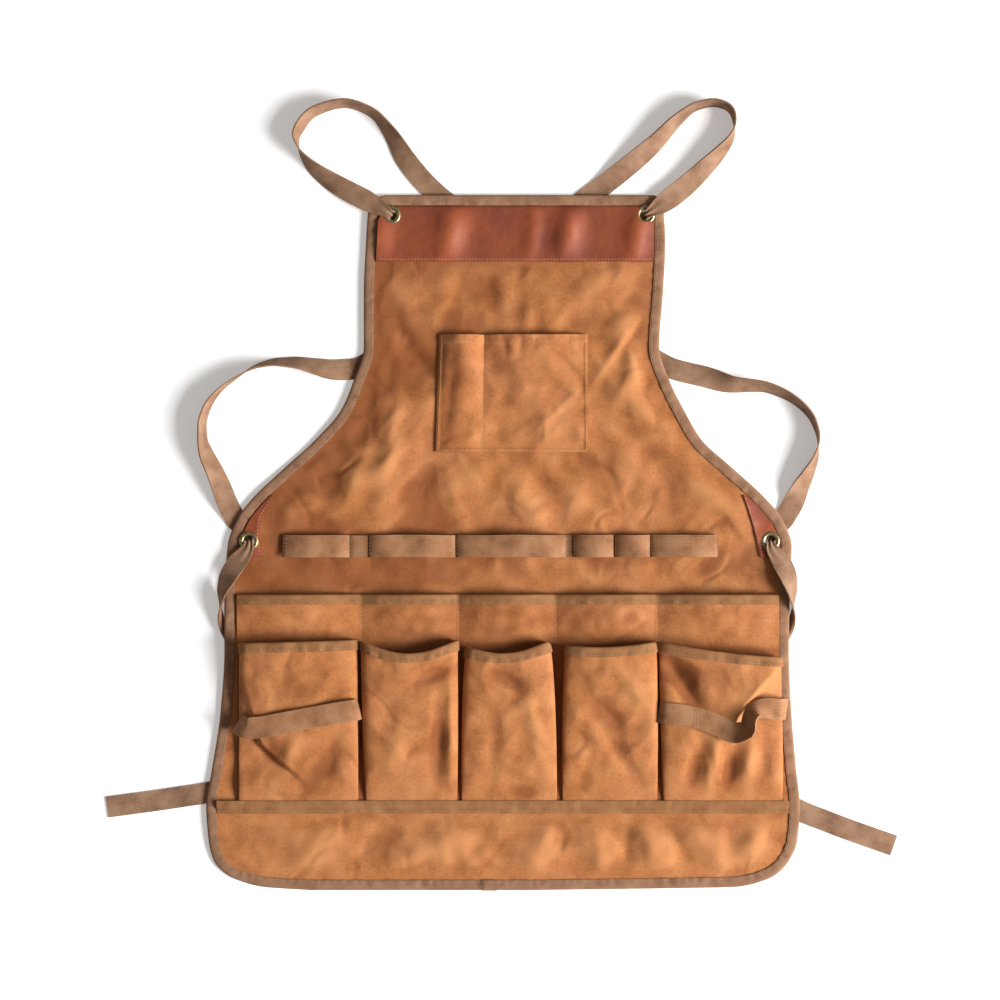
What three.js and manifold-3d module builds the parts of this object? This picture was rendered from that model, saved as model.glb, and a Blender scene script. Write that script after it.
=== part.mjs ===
// Canvas work apron laid out flat, with its cross-back straps spread at its sides.
// Millimetres, +Z up, +Y towards the top of the bib. The origin lies on the surface under the middle.
import * as THREE from "three";
import { mergeVertices } from "three/addons/utils/BufferGeometryUtils.js";
import Module from "manifold-3d";

const { smoothstep, lerp, degToRad } = THREE.MathUtils;

// Gauges of the materials, and the clearance between two pieces that are sewn together
const CANVAS = 1.2;
const LEATHER = 1.6;
const TAPE = 0.9;
const WEBBING = 1.5;
const SEAM = 0.3;
const LOOSE_SEAM = 0.5;

// Widths
const BINDING_REACH = 9;
const STRAP_WIDE = 21;
const BAND_WIDE = 21;
const LOOP_STRIP_WIDE = 22;

// Cut edge of the panel, from the top of the bib to the hem
const PANEL_EDGE = [
  { y: 298.8, left: -116, right: 153 },
  { y: 295.5, left: -125, right: 158.5 },
  { y: 286, left: -131.3, right: 161.3 },
  { y: 250, left: -133.8, right: 162.8 },
  { y: 205, left: -135.8, right: 160.8 },
  { y: 148, left: -135.8, right: 156.8 },
  { y: 115, left: -145.8, right: 166.8 },
  { y: 85, left: -158.6, right: 181.6 },
  { y: 55, left: -184.5, right: 199.5 },
  { y: 25, left: -217.3, right: 232.3 },
  { y: -5, left: -248.5, right: 264.4 },
  { y: -26, left: -263.6, right: 281 },
  { y: -50, left: -271.8, right: 289.2 },
  { y: -95, left: -274.8, right: 287 },
  { y: -150, left: -274.8, right: 286 },
  { y: -215, left: -278.8, right: 288.8 },
  { y: -275, left: -287.8, right: 293.8 },
  { y: -310, left: -293.3, right: 297.3 },
  { y: -345, left: -290.8, right: 294.8 },
  { y: -364, left: -286, right: 287 },
  { y: -378.5, left: -272.5, right: 273.5 },
  { y: -385.5, left: -256, right: 257 },
  { y: -390, left: -238, right: 236 },
  { y: -393.3, left: -190, right: 30 },
];
const PANEL_TOP = PANEL_EDGE[0].y;
const HEM = PANEL_EDGE[PANEL_EDGE.length - 1].y;
// The panel is in two solids, bib and skirt, which meet under the loop strip
const PANEL_JOIN = -55;

// Grid of the panel: columns across, the longest step between rows where it is folded and elsewhere,
// and the steps of its binding along the hem and along the top
const PANEL_COLUMNS = 16;
const FOLDED_STEP = 25;
const PLAIN_STEP = 60;
const RIM_STEPS = 5;
const FOLDED_ZONES = [
  { low: -215, high: 148 },
  { low: HEM, high: -310 },
];

// The panel's height: its rim binding lies on the surface, and straps beneath lift it
const BINDING_UNDER = TAPE + SEAM;
const BIB_LIFT = { height: 2.6, from: 15, full: 108 };
const SIDE_LIFT = { height: 2, from: 112, full: 222, hem: -388, hemFull: -326, waistFull: 0, waist: 45 };
const WRAP_LIFTS = [
  { x: 288, y: -128, reach: 49, height: 4.4 },
  { x: -277, y: -128, reach: 49, height: 4.4 },
];

// Soft ridges of the panel: middle, direction in degrees, half length, half width and rise
const PANEL_FOLDS = [
  { x: 130, y: 128, turn: 68, reach: 32, spread: 11, rise: 4 },
  { x: 138, y: 86, turn: -38, reach: 34, spread: 14, rise: 3.5 },
  { x: 24, y: -2, turn: -62, reach: 38, spread: 15, rise: 3.2 },
  { x: 74, y: -8, turn: 75, reach: 22, spread: 15, rise: 2.4 },
  { x: -112, y: 46, turn: 80, reach: 48, spread: 14, rise: 3.6 },
  { x: -146, y: 18, turn: 68, reach: 46, spread: 14, rise: 3.6 },
  { x: -196, y: -8, turn: 30, reach: 30, spread: 15, rise: 2.4 },
  { x: 210, y: 0, turn: -40, reach: 34, spread: 15, rise: 2.4 },
  { x: -70, y: -352, turn: 24, reach: 46, spread: 15, rise: 3.5 },
  { x: -180, y: -352, turn: 32, reach: 36, spread: 15, rise: 3 },
  { x: 40, y: -350, turn: 66, reach: 28, spread: 15, rise: 4 },
  { x: 98, y: -352, turn: 104, reach: 26, spread: 15, rise: 4.5 },
  { x: 150, y: -352, turn: -58, reach: 30, spread: 15, rise: 4 },
  { x: 206, y: -352, turn: -50, reach: 32, spread: 15, rise: 4.5 },
  { x: 250, y: -346, turn: 42, reach: 28, spread: 15, rise: 4 },
];
// The folds die out towards the sides, the hem and the pockets, where the panel is sewn flat
const FOLD_FADE = { side: 30, sideFull: 56, end: 12, endFull: 34, pockets: 24 };

// Leather yoke across the bib, with soft swells between its dents
const YOKE = { top: 288, bottom: 233.5, clear: 1, corner: 5, cornerFrom: 272, columns: 14, rows: 3 };
const YOKE_SWELLS = [
  { x: -82, spread: 14, rise: 1.6 },
  { x: -26, spread: 24, rise: 2 },
  { x: 34, spread: 16, rise: 1.2 },
  { x: 86, spread: 22, rise: 2 },
];

// Leather patches at the lower corners of the armholes, inner edge by height
const PATCHES = [
  {
    name: "corner_patch_left",
    side: "left",
    inner: [
      { y: 0, x: -227 },
      { y: -32, x: -241.5 },
      { y: -62, x: -239 },
    ],
  },
  {
    name: "corner_patch_right",
    side: "right",
    inner: [
      { y: 0, x: 241.4 },
      { y: -32, x: 252 },
      { y: -62, x: 259 },
    ],
  },
];
const PATCH_GRID = { columns: 3, rows: 5, clear: 2 };

// Brass eyelets: two through the yoke, two through the corner patches
const EYELET = { bore: 5.6, barrel: 6.2, rim: 9, washer: 8, flange: 1, crown: 0.5, sides: 12 };
const EYELET_HOLE = { radius: 6.6, depth: 60 };
const EYELETS = [
  { name: "grommet_bib_left", x: -109.5, y: 280 },
  { name: "grommet_bib_right", x: 144.2, y: 280 },
  { name: "grommet_waist_left", x: -251.5, y: -45.5 },
  { name: "grommet_waist_right", x: 269, y: -45.5 },
];

// Chest pocket: a wide bay and a narrow pencil bay, each bulging at its mouth
const BIB_POCKET = { left: -61, right: 86, mouth: 160.5, foot: 43.5, footLeft: -65, footRight: 87 };
const BIB_BAYS = [
  { from: 0, to: 0.3, swell: 7, steps: 4 },
  { from: 0.3, to: 1, swell: 10, steps: 8 },
];
const BIB_POCKET_ROWS = 5;
const BIB_POCKET_CLOSING = 1.3;

// Webbing strip across the waist: where it is tacked down, and how far each loop stands off
const LOOP_STRIP_Y = -50.5;
const LOOP_STRIP_START = -218;
const STRIP_LOOPS = [
  { end: -151, stand: 7 },
  { end: -132, stand: 1 },
  { end: -45, stand: 9 },
  { end: 65, stand: 11 },
  { end: 72, stand: 0 },
  { end: 113, stand: 8 },
  { end: 149, stand: 8 },
  { end: 216, stand: 7 },
];
const STRIP_STEP = 14;
const STRIP_ROUNDNESS = 0.6;

// Upper pocket: stitched down at these places across, open along its top edge
const UPPER = { mouth: -99.5, swell: 10, fall: 205, closing: 3, lipRise: 1.8, lipFrom: 12, lipTo: 44 };
const UPPER_STITCHES = [-263, -140, -43, 54, 155, 277];
const UPPER_STEPS = 6;
const UPPER_ROWS = [0, 9, 28, 50, 88, 132, 210];

// Five bellows pockets: sides at the mouth and the foot, height of the lip at its left and right ends,
// sag of the lip, stand-off of the front
const FRONT_FOOT = -306.5;
const FRONT_POCKETS = [
  { left: -258, right: -144.5, footLeft: -262, footRight: -142.5, lips: [-147.5, -144.5], sag: 0, swell: 17 },
  { left: -138, right: -44.5, footLeft: -135, footRight: -43.5, lips: [-146, -145], sag: 12, swell: 19 },
  { left: -32, right: 45, footLeft: -39.5, footRight: 56, lips: [-152, -146.5], sag: 8, swell: 17 },
  { left: 66, right: 152.5, footLeft: 61, footRight: 156, lips: [-150, -146.5], sag: 3, swell: 17 },
  { left: 158, right: 277, footLeft: 162, footRight: 281, lips: [-146.5, -161.5], sag: 2, swell: 18 },
];
const BELLOWS = { roundness: 4.5, closing: 3, footFade: 0.25, leastStand: 0.2 };
const POCKET_ARCS = [0, 12, 27, 44, 60, 74, 84, 90, 96, 106, 120, 136, 153, 168, 180];
const POCKET_ROWS = [0, 0.07, 0.26, 0.48, 0.7, 0.88, 1];

// Dents and creases of the front pockets, rise below zero for a dent
const POCKET_FOLDS = [
  { pocket: 0, x: -226, y: -256, turn: -47, reach: 22, spread: 9, rise: -4 },
  { pocket: 0, x: -186, y: -282, turn: 60, reach: 24, spread: 12, rise: -3 },
  { pocket: 1, x: -66, y: -178, turn: 22, reach: 28, spread: 9, rise: -3.5 },
  { pocket: 1, x: -62, y: -252, turn: 90, reach: 44, spread: 9, rise: -4 },
  { pocket: 2, x: 4, y: -182, turn: -28, reach: 28, spread: 10, rise: -3 },
  { pocket: 2, x: 24, y: -296, turn: 0, reach: 16, spread: 10, rise: -3 },
  { pocket: 3, x: 104, y: -214, turn: -48, reach: 40, spread: 12, rise: -3 },
  { pocket: 4, x: 184, y: -190, turn: -55, reach: 26, spread: 10, rise: -4 },
  { pocket: 4, x: 228, y: -274, turn: 84, reach: 26, spread: 9, rise: -4 },
  { pocket: 4, x: 192, y: -272, turn: 76, reach: 24, spread: 9, rise: -3 },
];

// Tape over the bottom edges of the pockets
const BASE_TAPE = { top: -304.5, step: -311, bottom: -317.5, left: -282.5, right: 286.5, columns: 16 };

// Webbing bands over the outer pockets: route, height of the lowest edge above the surface, roll in degrees
const BAND_LEFT_ROUTE = [
  { x: -141.2, y: -212, rest: 15, roll: 0, wide: BAND_WIDE },
  { x: -143.6, y: -212.6, rest: 24.6, roll: 0, wide: BAND_WIDE },
  { x: -156, y: -214.5, rest: 27.4, roll: 0, wide: BAND_WIDE },
  { x: -182, y: -219, rest: 27.4, roll: 0, wide: BAND_WIDE },
  { x: -216, y: -225.4, rest: 27.4, roll: 0, wide: BAND_WIDE },
  { x: -246, y: -231, rest: 26, roll: -6, wide: BAND_WIDE },
  { x: -260, y: -231.5, rest: 19, roll: -40, wide: BAND_WIDE },
  { x: -267.5, y: -224, rest: 12, roll: -80, wide: BAND_WIDE },
  { x: -267, y: -215, rest: 9, roll: -92, wide: BAND_WIDE },
  { x: -263.4, y: -209, rest: 8.5, roll: -92, wide: BAND_WIDE - 2 },
];
const BAND_RIGHT_ROUTE = [
  { x: 157, y: -215.5, rest: 14, roll: 0, wide: BAND_WIDE },
  { x: 158.8, y: -215.8, rest: 19.6, roll: 0, wide: BAND_WIDE },
  { x: 162.6, y: -216.2, rest: 23, roll: 0, wide: BAND_WIDE },
  { x: 172, y: -216.8, rest: 24.8, roll: 0, wide: BAND_WIDE },
  { x: 192, y: -220, rest: 25.5, roll: 0, wide: BAND_WIDE },
  { x: 215, y: -228, rest: 25.6, roll: 0, wide: BAND_WIDE },
  { x: 232, y: -235, rest: 26.4, roll: 14, wide: BAND_WIDE },
  { x: 243.5, y: -232, rest: 27.5, roll: 46, wide: BAND_WIDE },
  { x: 245.5, y: -221, rest: 27.5, roll: 54, wide: BAND_WIDE },
  { x: 252, y: -211.5, rest: 27.5, roll: 44, wide: BAND_WIDE },
  { x: 264, y: -211, rest: 27.5, roll: 14, wide: BAND_WIDE },
  { x: 275, y: -212, rest: 26, roll: 0, wide: BAND_WIDE },
  { x: 281.6, y: -212.6, rest: 17, roll: 0, wide: BAND_WIDE },
  { x: 284.5, y: -213, rest: 8.4, roll: 0, wide: BAND_WIDE },
];

// Straps. Each runs from a tab behind the bib, up through its eyelet, round the shoulder loop,
// behind the bib, round the waist loop on the other side, up through the waist eyelet,
// over the panel's edge and out to its tail.
// rest is the height of the lowest edge above the surface, roll turns the strap about its run.
const HOLE_WIDE = 7.5;
const STRAP_LEFT_ROUTE = [
  { x: -83, y: 266.5, rest: 0, roll: 0, wide: STRAP_WIDE },
  { x: -97, y: 273.5, rest: 0, roll: 0, wide: 17 },
  { x: -105.5, y: 277.8, rest: 0, roll: 0, wide: 8.5 },
  { x: -108.6, y: 279.5, rest: 1, roll: 0, wide: HOLE_WIDE },
  { x: -109.5, y: 280, rest: 4.2, roll: 0, wide: HOLE_WIDE },
  { x: -110.4, y: 280.5, rest: 8.6, roll: 0, wide: HOLE_WIDE },
  { x: -114.5, y: 283, rest: 9.8, roll: 0, wide: 11 },
  { x: -124, y: 288.5, rest: 8.6, roll: 2, wide: 17 },
  { x: -137, y: 295.5, rest: 6.8, roll: 8, wide: STRAP_WIDE },
  { x: -156, y: 305.5, rest: 3, roll: 22, wide: STRAP_WIDE },
  { x: -176, y: 318, rest: 0, roll: 44, wide: STRAP_WIDE },
  { x: -192, y: 331.5, rest: 0, roll: 66, wide: STRAP_WIDE },
  { x: -202, y: 346.5, rest: 0, roll: 90, wide: STRAP_WIDE },
  { x: -204.5, y: 357.5, rest: 0, roll: 104, wide: STRAP_WIDE },
  { x: -200, y: 368.5, rest: 0, roll: 112, wide: STRAP_WIDE },
  { x: -186, y: 383, rest: 0, roll: 110, wide: STRAP_WIDE },
  { x: -156, y: 391, rest: 0, roll: 107, wide: STRAP_WIDE },
  { x: -129, y: 382, rest: 0, roll: 110, wide: STRAP_WIDE },
  { x: -110, y: 360.5, rest: 0, roll: 128, wide: STRAP_WIDE },
  { x: -95, y: 335.5, rest: 0, roll: 160, wide: STRAP_WIDE },
  { x: -72, y: 308.5, rest: 0, roll: 180, wide: STRAP_WIDE },
  { x: -41, y: 282.5, rest: 0, roll: 180, wide: STRAP_WIDE },
  { x: 19, y: 237, rest: 0, roll: 180, wide: STRAP_WIDE },
  { x: 89, y: 184, rest: 0, roll: 180, wide: STRAP_WIDE },
  { x: 139, y: 146, rest: 0, roll: 180, wide: STRAP_WIDE },
  { x: 171, y: 127, rest: 0, roll: 180, wide: STRAP_WIDE },
  { x: 204, y: 118.5, rest: 0, roll: 172, wide: STRAP_WIDE },
  { x: 234, y: 110.5, rest: 0, roll: 134, wide: STRAP_WIDE },
  { x: 259, y: 109, rest: 0, roll: 118, wide: STRAP_WIDE },
  { x: 282, y: 101.5, rest: 0, roll: 111, wide: STRAP_WIDE },
  { x: 301, y: 88.5, rest: 0, roll: 105, wide: STRAP_WIDE },
  { x: 312, y: 73.5, rest: 0, roll: 99, wide: STRAP_WIDE },
  { x: 316.5, y: 55.5, rest: 0, roll: 90, wide: STRAP_WIDE },
  { x: 314, y: 39.5, rest: 0, roll: 73, wide: STRAP_WIDE },
  { x: 307, y: 23.5, rest: 0, roll: 55, wide: STRAP_WIDE },
  { x: 299, y: 8.5, rest: 0, roll: 35, wide: STRAP_WIDE },
  { x: 291.5, y: -8.5, rest: 0, roll: 8, wide: STRAP_WIDE },
  { x: 282.5, y: -23.5, rest: 0, roll: 0, wide: STRAP_WIDE },
  { x: 274, y: -36, rest: 0, roll: 0, wide: 13 },
  { x: 270.4, y: -42, rest: 0, roll: 0, wide: 8.5 },
  { x: 269.3, y: -44.5, rest: 1, roll: 0, wide: HOLE_WIDE },
  { x: 269, y: -45.5, rest: 4, roll: 0, wide: HOLE_WIDE },
  { x: 268.8, y: -46.5, rest: 8, roll: 0, wide: HOLE_WIDE },
  { x: 269.6, y: -51.5, rest: 9.4, roll: 2, wide: 11 },
  { x: 275, y: -60, rest: 9.2, roll: 8, wide: 16 },
  { x: 281, y: -69.5, rest: 8, roll: 18, wide: 20 },
  { x: 286.5, y: -82.5, rest: 7, roll: 36, wide: STRAP_WIDE },
  { x: 290.6, y: -98.5, rest: 2.5, roll: 62, wide: 19 },
  { x: 291.4, y: -113, rest: 0, roll: 88, wide: 14 },
  { x: 290, y: -126, rest: 0, roll: 128, wide: 10 },
  { x: 284, y: -140, rest: 0, roll: 168, wide: 10 },
  { x: 271, y: -159.5, rest: 0, roll: 180, wide: 17 },
  { x: 256, y: -194.5, rest: 0, roll: 180, wide: STRAP_WIDE },
  { x: 251, y: -239.5, rest: 0, roll: 180, wide: STRAP_WIDE },
  { x: 262, y: -282.5, rest: 0, roll: 180, wide: STRAP_WIDE },
  { x: 289, y: -309.5, rest: 0, roll: 180, wide: STRAP_WIDE },
  { x: 329, y: -327, rest: 0, roll: 180, wide: STRAP_WIDE },
  { x: 392.6, y: -350, rest: 0, roll: 180, wide: STRAP_WIDE },
];
const STRAP_RIGHT_ROUTE = [
  { x: 118, y: 266.5, rest: 0, roll: 0, wide: STRAP_WIDE },
  { x: 131.5, y: 273.4, rest: 0, roll: 0, wide: 17 },
  { x: 140, y: 277.8, rest: 0, roll: 0, wide: 8.5 },
  { x: 143.3, y: 279.5, rest: 1, roll: 0, wide: HOLE_WIDE },
  { x: 144.2, y: 280, rest: 4.2, roll: 0, wide: HOLE_WIDE },
  { x: 145.1, y: 280.5, rest: 8.6, roll: 0, wide: HOLE_WIDE },
  { x: 149.5, y: 283, rest: 9.8, roll: 0, wide: 11 },
  { x: 158, y: 288.5, rest: 8.6, roll: -2, wide: 17 },
  { x: 170, y: 297.5, rest: 6, roll: -8, wide: STRAP_WIDE },
  { x: 185, y: 309.5, rest: 2.4, roll: -20, wide: STRAP_WIDE },
  { x: 203, y: 326.5, rest: 0, roll: -38, wide: STRAP_WIDE },
  { x: 220, y: 344, rest: 0, roll: -58, wide: STRAP_WIDE },
  { x: 230, y: 358, rest: 0, roll: -75, wide: STRAP_WIDE },
  { x: 233, y: 370, rest: 0, roll: -90, wide: STRAP_WIDE },
  { x: 231.5, y: 380, rest: 0, roll: -97, wide: STRAP_WIDE },
  { x: 225, y: 388, rest: 0, roll: -102, wide: STRAP_WIDE },
  { x: 212, y: 391.5, rest: 0, roll: -104, wide: STRAP_WIDE },
  { x: 196, y: 388.5, rest: 0, roll: -106, wide: STRAP_WIDE },
  { x: 177, y: 375.5, rest: 0, roll: -118, wide: STRAP_WIDE },
  { x: 152, y: 350, rest: 0, roll: -140, wide: STRAP_WIDE },
  { x: 122, y: 325, rest: 0, roll: -164, wide: STRAP_WIDE },
  { x: 93, y: 303, rest: 0, roll: -180, wide: STRAP_WIDE },
  { x: 64, y: 281, rest: 0.2, roll: -180, wide: STRAP_WIDE },
  { x: 29, y: 254.3, rest: 1.9, roll: -180, wide: STRAP_WIDE },
  { x: 12.5, y: 241.7, rest: 1.9, roll: -180, wide: STRAP_WIDE },
  { x: -4, y: 229.2, rest: 1.9, roll: -180, wide: STRAP_WIDE },
  { x: -40, y: 202, rest: 0.2, roll: -180, wide: STRAP_WIDE },
  { x: -98, y: 158, rest: 0, roll: -180, wide: STRAP_WIDE },
  { x: -128, y: 136, rest: 0, roll: -180, wide: STRAP_WIDE },
  { x: -147, y: 126.5, rest: 0, roll: -180, wide: STRAP_WIDE },
  { x: -166, y: 125.5, rest: 0, roll: -196, wide: STRAP_WIDE },
  { x: -186, y: 129, rest: 0, roll: -222, wide: STRAP_WIDE },
  { x: -206, y: 132.5, rest: 0, roll: -238, wide: STRAP_WIDE },
  { x: -222, y: 133, rest: 0, roll: -247, wide: STRAP_WIDE },
  { x: -240, y: 130, rest: 0, roll: -256, wide: STRAP_WIDE },
  { x: -264, y: 117.5, rest: 0, roll: -270, wide: STRAP_WIDE },
  { x: -282, y: 103.5, rest: 0, roll: -277, wide: STRAP_WIDE },
  { x: -293, y: 88, rest: 0, roll: -284, wide: STRAP_WIDE },
  { x: -298, y: 70, rest: 0, roll: -287, wide: STRAP_WIDE },
  { x: -297.5, y: 55.5, rest: 0, roll: -291, wide: STRAP_WIDE },
  { x: -294, y: 42, rest: 0, roll: -306, wide: STRAP_WIDE },
  { x: -286.5, y: 26, rest: 0, roll: -318, wide: STRAP_WIDE },
  { x: -279.5, y: 10, rest: 0, roll: -328, wide: STRAP_WIDE },
  { x: -274, y: -6, rest: 0, roll: -345, wide: STRAP_WIDE },
  { x: -265.5, y: -23.5, rest: 0, roll: -360, wide: STRAP_WIDE },
  { x: -257, y: -36, rest: 0, roll: -360, wide: 13 },
  { x: -253, y: -42, rest: 0, roll: -360, wide: 8.5 },
  { x: -251.8, y: -44.5, rest: 1, roll: -360, wide: HOLE_WIDE },
  { x: -251.5, y: -45.5, rest: 4, roll: -360, wide: HOLE_WIDE },
  { x: -251.3, y: -46.5, rest: 8, roll: -360, wide: HOLE_WIDE },
  { x: -252.2, y: -51.5, rest: 9.4, roll: -362, wide: 11 },
  { x: -257.5, y: -60, rest: 9.2, roll: -368, wide: 16 },
  { x: -265, y: -69.5, rest: 8, roll: -378, wide: 20 },
  { x: -272.5, y: -82.5, rest: 7.6, roll: -396, wide: STRAP_WIDE },
  { x: -278.6, y: -98.5, rest: 3.2, roll: -422, wide: 19 },
  { x: -279.8, y: -113, rest: 0, roll: -448, wide: 14 },
  { x: -278.6, y: -126, rest: 0, roll: -488, wide: 10 },
  { x: -272.5, y: -140, rest: 0, roll: -528, wide: 10 },
  { x: -259, y: -159.5, rest: 0, roll: -540, wide: 17 },
  { x: -244, y: -194.5, rest: 0, roll: -540, wide: STRAP_WIDE },
  { x: -240, y: -234, rest: 0, roll: -540, wide: STRAP_WIDE },
  { x: -253, y: -273, rest: 0, roll: -540, wide: STRAP_WIDE },
  { x: -284, y: -294.5, rest: 0, roll: -540, wide: STRAP_WIDE },
  { x: -322, y: -301.5, rest: 0, roll: -540, wide: STRAP_WIDE },
  { x: -393.7, y: -311.5, rest: 0, roll: -540, wide: STRAP_WIDE },
];
// Each strap is in three lengths, which meet behind the bib and in the waist eyelet, at rows of these heights
const STRAPS = [
  {
    route: STRAP_LEFT_ROUTE,
    lengths: ["strap_left_shoulder", "strap_right_waist", "strap_right_tail"],
    joins: [184, -45.5],
  },
  {
    route: STRAP_RIGHT_ROUTE,
    lengths: ["strap_right_shoulder", "strap_left_waist", "strap_left_tail"],
    joins: [158, -45.5],
  },
];
// Longest step and turn between two sections of webbing, and the reach over which its run is measured
const RIBBON_STEP = 48;
const RIBBON_TURN = 30;
const RIBBON_REACH = 0.5;

// Finishes
const FINISH = {
  canvas: { color: "#bd7f4c", roughness: 0.82, metalness: 0 },
  tape: { color: "#97765a", roughness: 0.88, metalness: 0 },
  webbing: { color: "#b08c70", roughness: 0.85, metalness: 0 },
  leather: { color: "#94492f", roughness: 0.45, metalness: 0 },
  brass: { color: "#8f8258", roughness: 0.35, metalness: 1 },
};

// Points closer than this are one point
const MERGE = 1e-4;

const wasm = await Module();
wasm.setup();

// Slope of a column at a row, held flat at a turning point so that the curve never overshoots a row
function slopeAt(rows, along, column, i) {
  const before = rows[Math.max(i - 1, 0)];
  const here = rows[i];
  const after = rows[Math.min(i + 1, rows.length - 1)];
  const rising = (here[column] - before[column]) / (here[along] - before[along] || 1);
  const leaving = (after[column] - here[column]) / (after[along] - here[along] || 1);
  if (i === 0) return leaving;
  if (i === rows.length - 1) return rising;
  return rising * leaving > 0 ? (2 * rising * leaving) / (rising + leaving) : 0;
}

// One column of a table, read at a place along another column on a smooth curve through the rows
function readColumn(rows, along, place, column) {
  const downwards = rows[rows.length - 1][along] < rows[0][along];
  let i = 0;
  while (i < rows.length - 2 && (downwards ? place < rows[i + 1][along] : place > rows[i + 1][along])) {
    i += 1;
  }
  const a = rows[i];
  const b = rows[i + 1];
  const span = b[along] - a[along];
  const t = THREE.MathUtils.clamp((place - a[along]) / span, 0, 1);
  const slopeA = slopeAt(rows, along, column, i) * span;
  const slopeB = slopeAt(rows, along, column, i + 1) * span;
  const t2 = t * t;
  const t3 = t2 * t;
  return (2 * t3 - 3 * t2 + 1) * a[column] + (t3 - 2 * t2 + t) * slopeA
    + (3 * t2 - 2 * t3) * b[column] + (t3 - t2) * slopeB;
}

const panelLeft = (y) => readColumn(PANEL_EDGE, "y", y, "left");
const panelRight = (y) => readColumn(PANEL_EDGE, "y", y, "right");

// Height of one soft ridge at a place
function ridge(fold, x, y) {
  const turn = degToRad(fold.turn);
  const dx = x - fold.x;
  const dy = y - fold.y;
  const along = (dx * Math.cos(turn) + dy * Math.sin(turn)) / fold.reach;
  const across = (dy * Math.cos(turn) - dx * Math.sin(turn)) / fold.spread;
  return fold.rise * Math.exp(-along * along - across * across);
}

// Lift of the panel by the straps that run beneath it
function strapLift(x, y) {
  const bib = BIB_LIFT.height * smoothstep(y, BIB_LIFT.from, BIB_LIFT.full);
  const side = SIDE_LIFT.height * smoothstep(Math.abs(x), SIDE_LIFT.from, SIDE_LIFT.full)
    * smoothstep(y, SIDE_LIFT.hem, SIDE_LIFT.hemFull)
    * (1 - smoothstep(y, SIDE_LIFT.waistFull, SIDE_LIFT.waist));
  let wrap = 0;
  for (const bump of WRAP_LIFTS) {
    const away = Math.hypot(x - bump.x, y - bump.y) / bump.reach;
    wrap += bump.height * Math.exp(-away * away);
  }
  return bib + side + wrap;
}

// Underside and upper side of the canvas panel
function panelUnder(x, y) {
  const toSide = Math.min(x - panelLeft(y), panelRight(y) - x);
  const toEnd = Math.min(y - HEM, PANEL_TOP - y);
  const toPockets = Math.max(y - UPPER.mouth - BINDING_REACH, BASE_TAPE.bottom - SEAM - y);
  const room = smoothstep(toSide, FOLD_FADE.side, FOLD_FADE.sideFull)
    * smoothstep(toEnd, FOLD_FADE.end, FOLD_FADE.endFull)
    * smoothstep(toPockets, 0, FOLD_FADE.pockets);
  let folds = 0;
  for (const fold of PANEL_FOLDS) {
    folds += ridge(fold, x, y);
  }
  return BINDING_UNDER + strapLift(x, y) + folds * room;
}
const panelOver = (x, y) => panelUnder(x, y) + CANVAS;

// Upper side of the upper pocket, which swells between its stitch lines and closes towards its foot
function upperPocketOver(x, y) {
  let swell = 0;
  for (let i = 0; i < UPPER_STITCHES.length - 1; i += 1) {
    const across = (x - UPPER_STITCHES[i]) / (UPPER_STITCHES[i + 1] - UPPER_STITCHES[i]);
    if (across > 0 && across < 1) {
      swell = Math.sin(Math.PI * across);
    }
  }
  const fall = THREE.MathUtils.clamp(1 - (UPPER.mouth - y) / UPPER.fall, 0, 1);
  const lip = UPPER.lipRise * (1 - smoothstep(UPPER.mouth - y, UPPER.lipFrom, UPPER.lipTo));
  return panelOver(x, y) + SEAM + CANVAS + lip + UPPER.swell * swell * fall ** UPPER.closing;
}

// Turns a geometry's faces outwards
function faceOutwards(geometry) {
  const index = geometry.index.array;
  const position = geometry.attributes.position;
  const corner = [new THREE.Vector3(), new THREE.Vector3(), new THREE.Vector3()];
  let volume = 0;
  for (let i = 0; i < index.length; i += 3) {
    corner.forEach((point, k) => point.fromBufferAttribute(position, index[i + k]));
    volume += corner[0].dot(corner[1].clone().cross(corner[2]));
  }
  if (volume < 0) {
    for (let i = 0; i < index.length; i += 3) {
      [index[i], index[i + 1]] = [index[i + 1], index[i]];
    }
  }
  geometry.computeVertexNormals();
  return geometry;
}

function geometryFrom(points, faces) {
  const geometry = new THREE.BufferGeometry();
  const numbers = points.flatMap((p) => [p.x, p.y, p.z]);
  geometry.setAttribute("position", new THREE.Float32BufferAttribute(numbers, 3));
  geometry.setIndex(faces);
  return faceOutwards(geometry);
}

// Closed wall between two grids of points that have the same rows and columns
function wallBetween(over, under) {
  const rows = over.length;
  const columns = over[0].length;
  const points = [...over.flat(), ...under.flat()];
  const faces = [];
  const quad = (a, b, c, d) => faces.push(a, b, c, a, c, d);
  const overAt = (i, j) => i * columns + j;
  const underAt = (i, j) => rows * columns + i * columns + j;
  for (let i = 0; i < rows - 1; i += 1) {
    for (let j = 0; j < columns - 1; j += 1) {
      quad(overAt(i, j), overAt(i + 1, j), overAt(i + 1, j + 1), overAt(i, j + 1));
      quad(underAt(i, j), underAt(i, j + 1), underAt(i + 1, j + 1), underAt(i + 1, j));
    }
  }
  const rim = [];
  for (let j = 0; j < columns - 1; j += 1) {
    rim.push([0, j]);
  }
  for (let i = 0; i < rows - 1; i += 1) {
    rim.push([i, columns - 1]);
  }
  for (let j = columns - 1; j > 0; j -= 1) {
    rim.push([rows - 1, j]);
  }
  for (let i = rows - 1; i > 0; i -= 1) {
    rim.push([i, 0]);
  }
  rim.forEach(([i, j], k) => {
    const [nextI, nextJ] = rim[(k + 1) % rim.length];
    quad(overAt(i, j), overAt(nextI, nextJ), underAt(nextI, nextJ), underAt(i, j));
  });
  return geometryFrom(points, faces);
}

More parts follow.
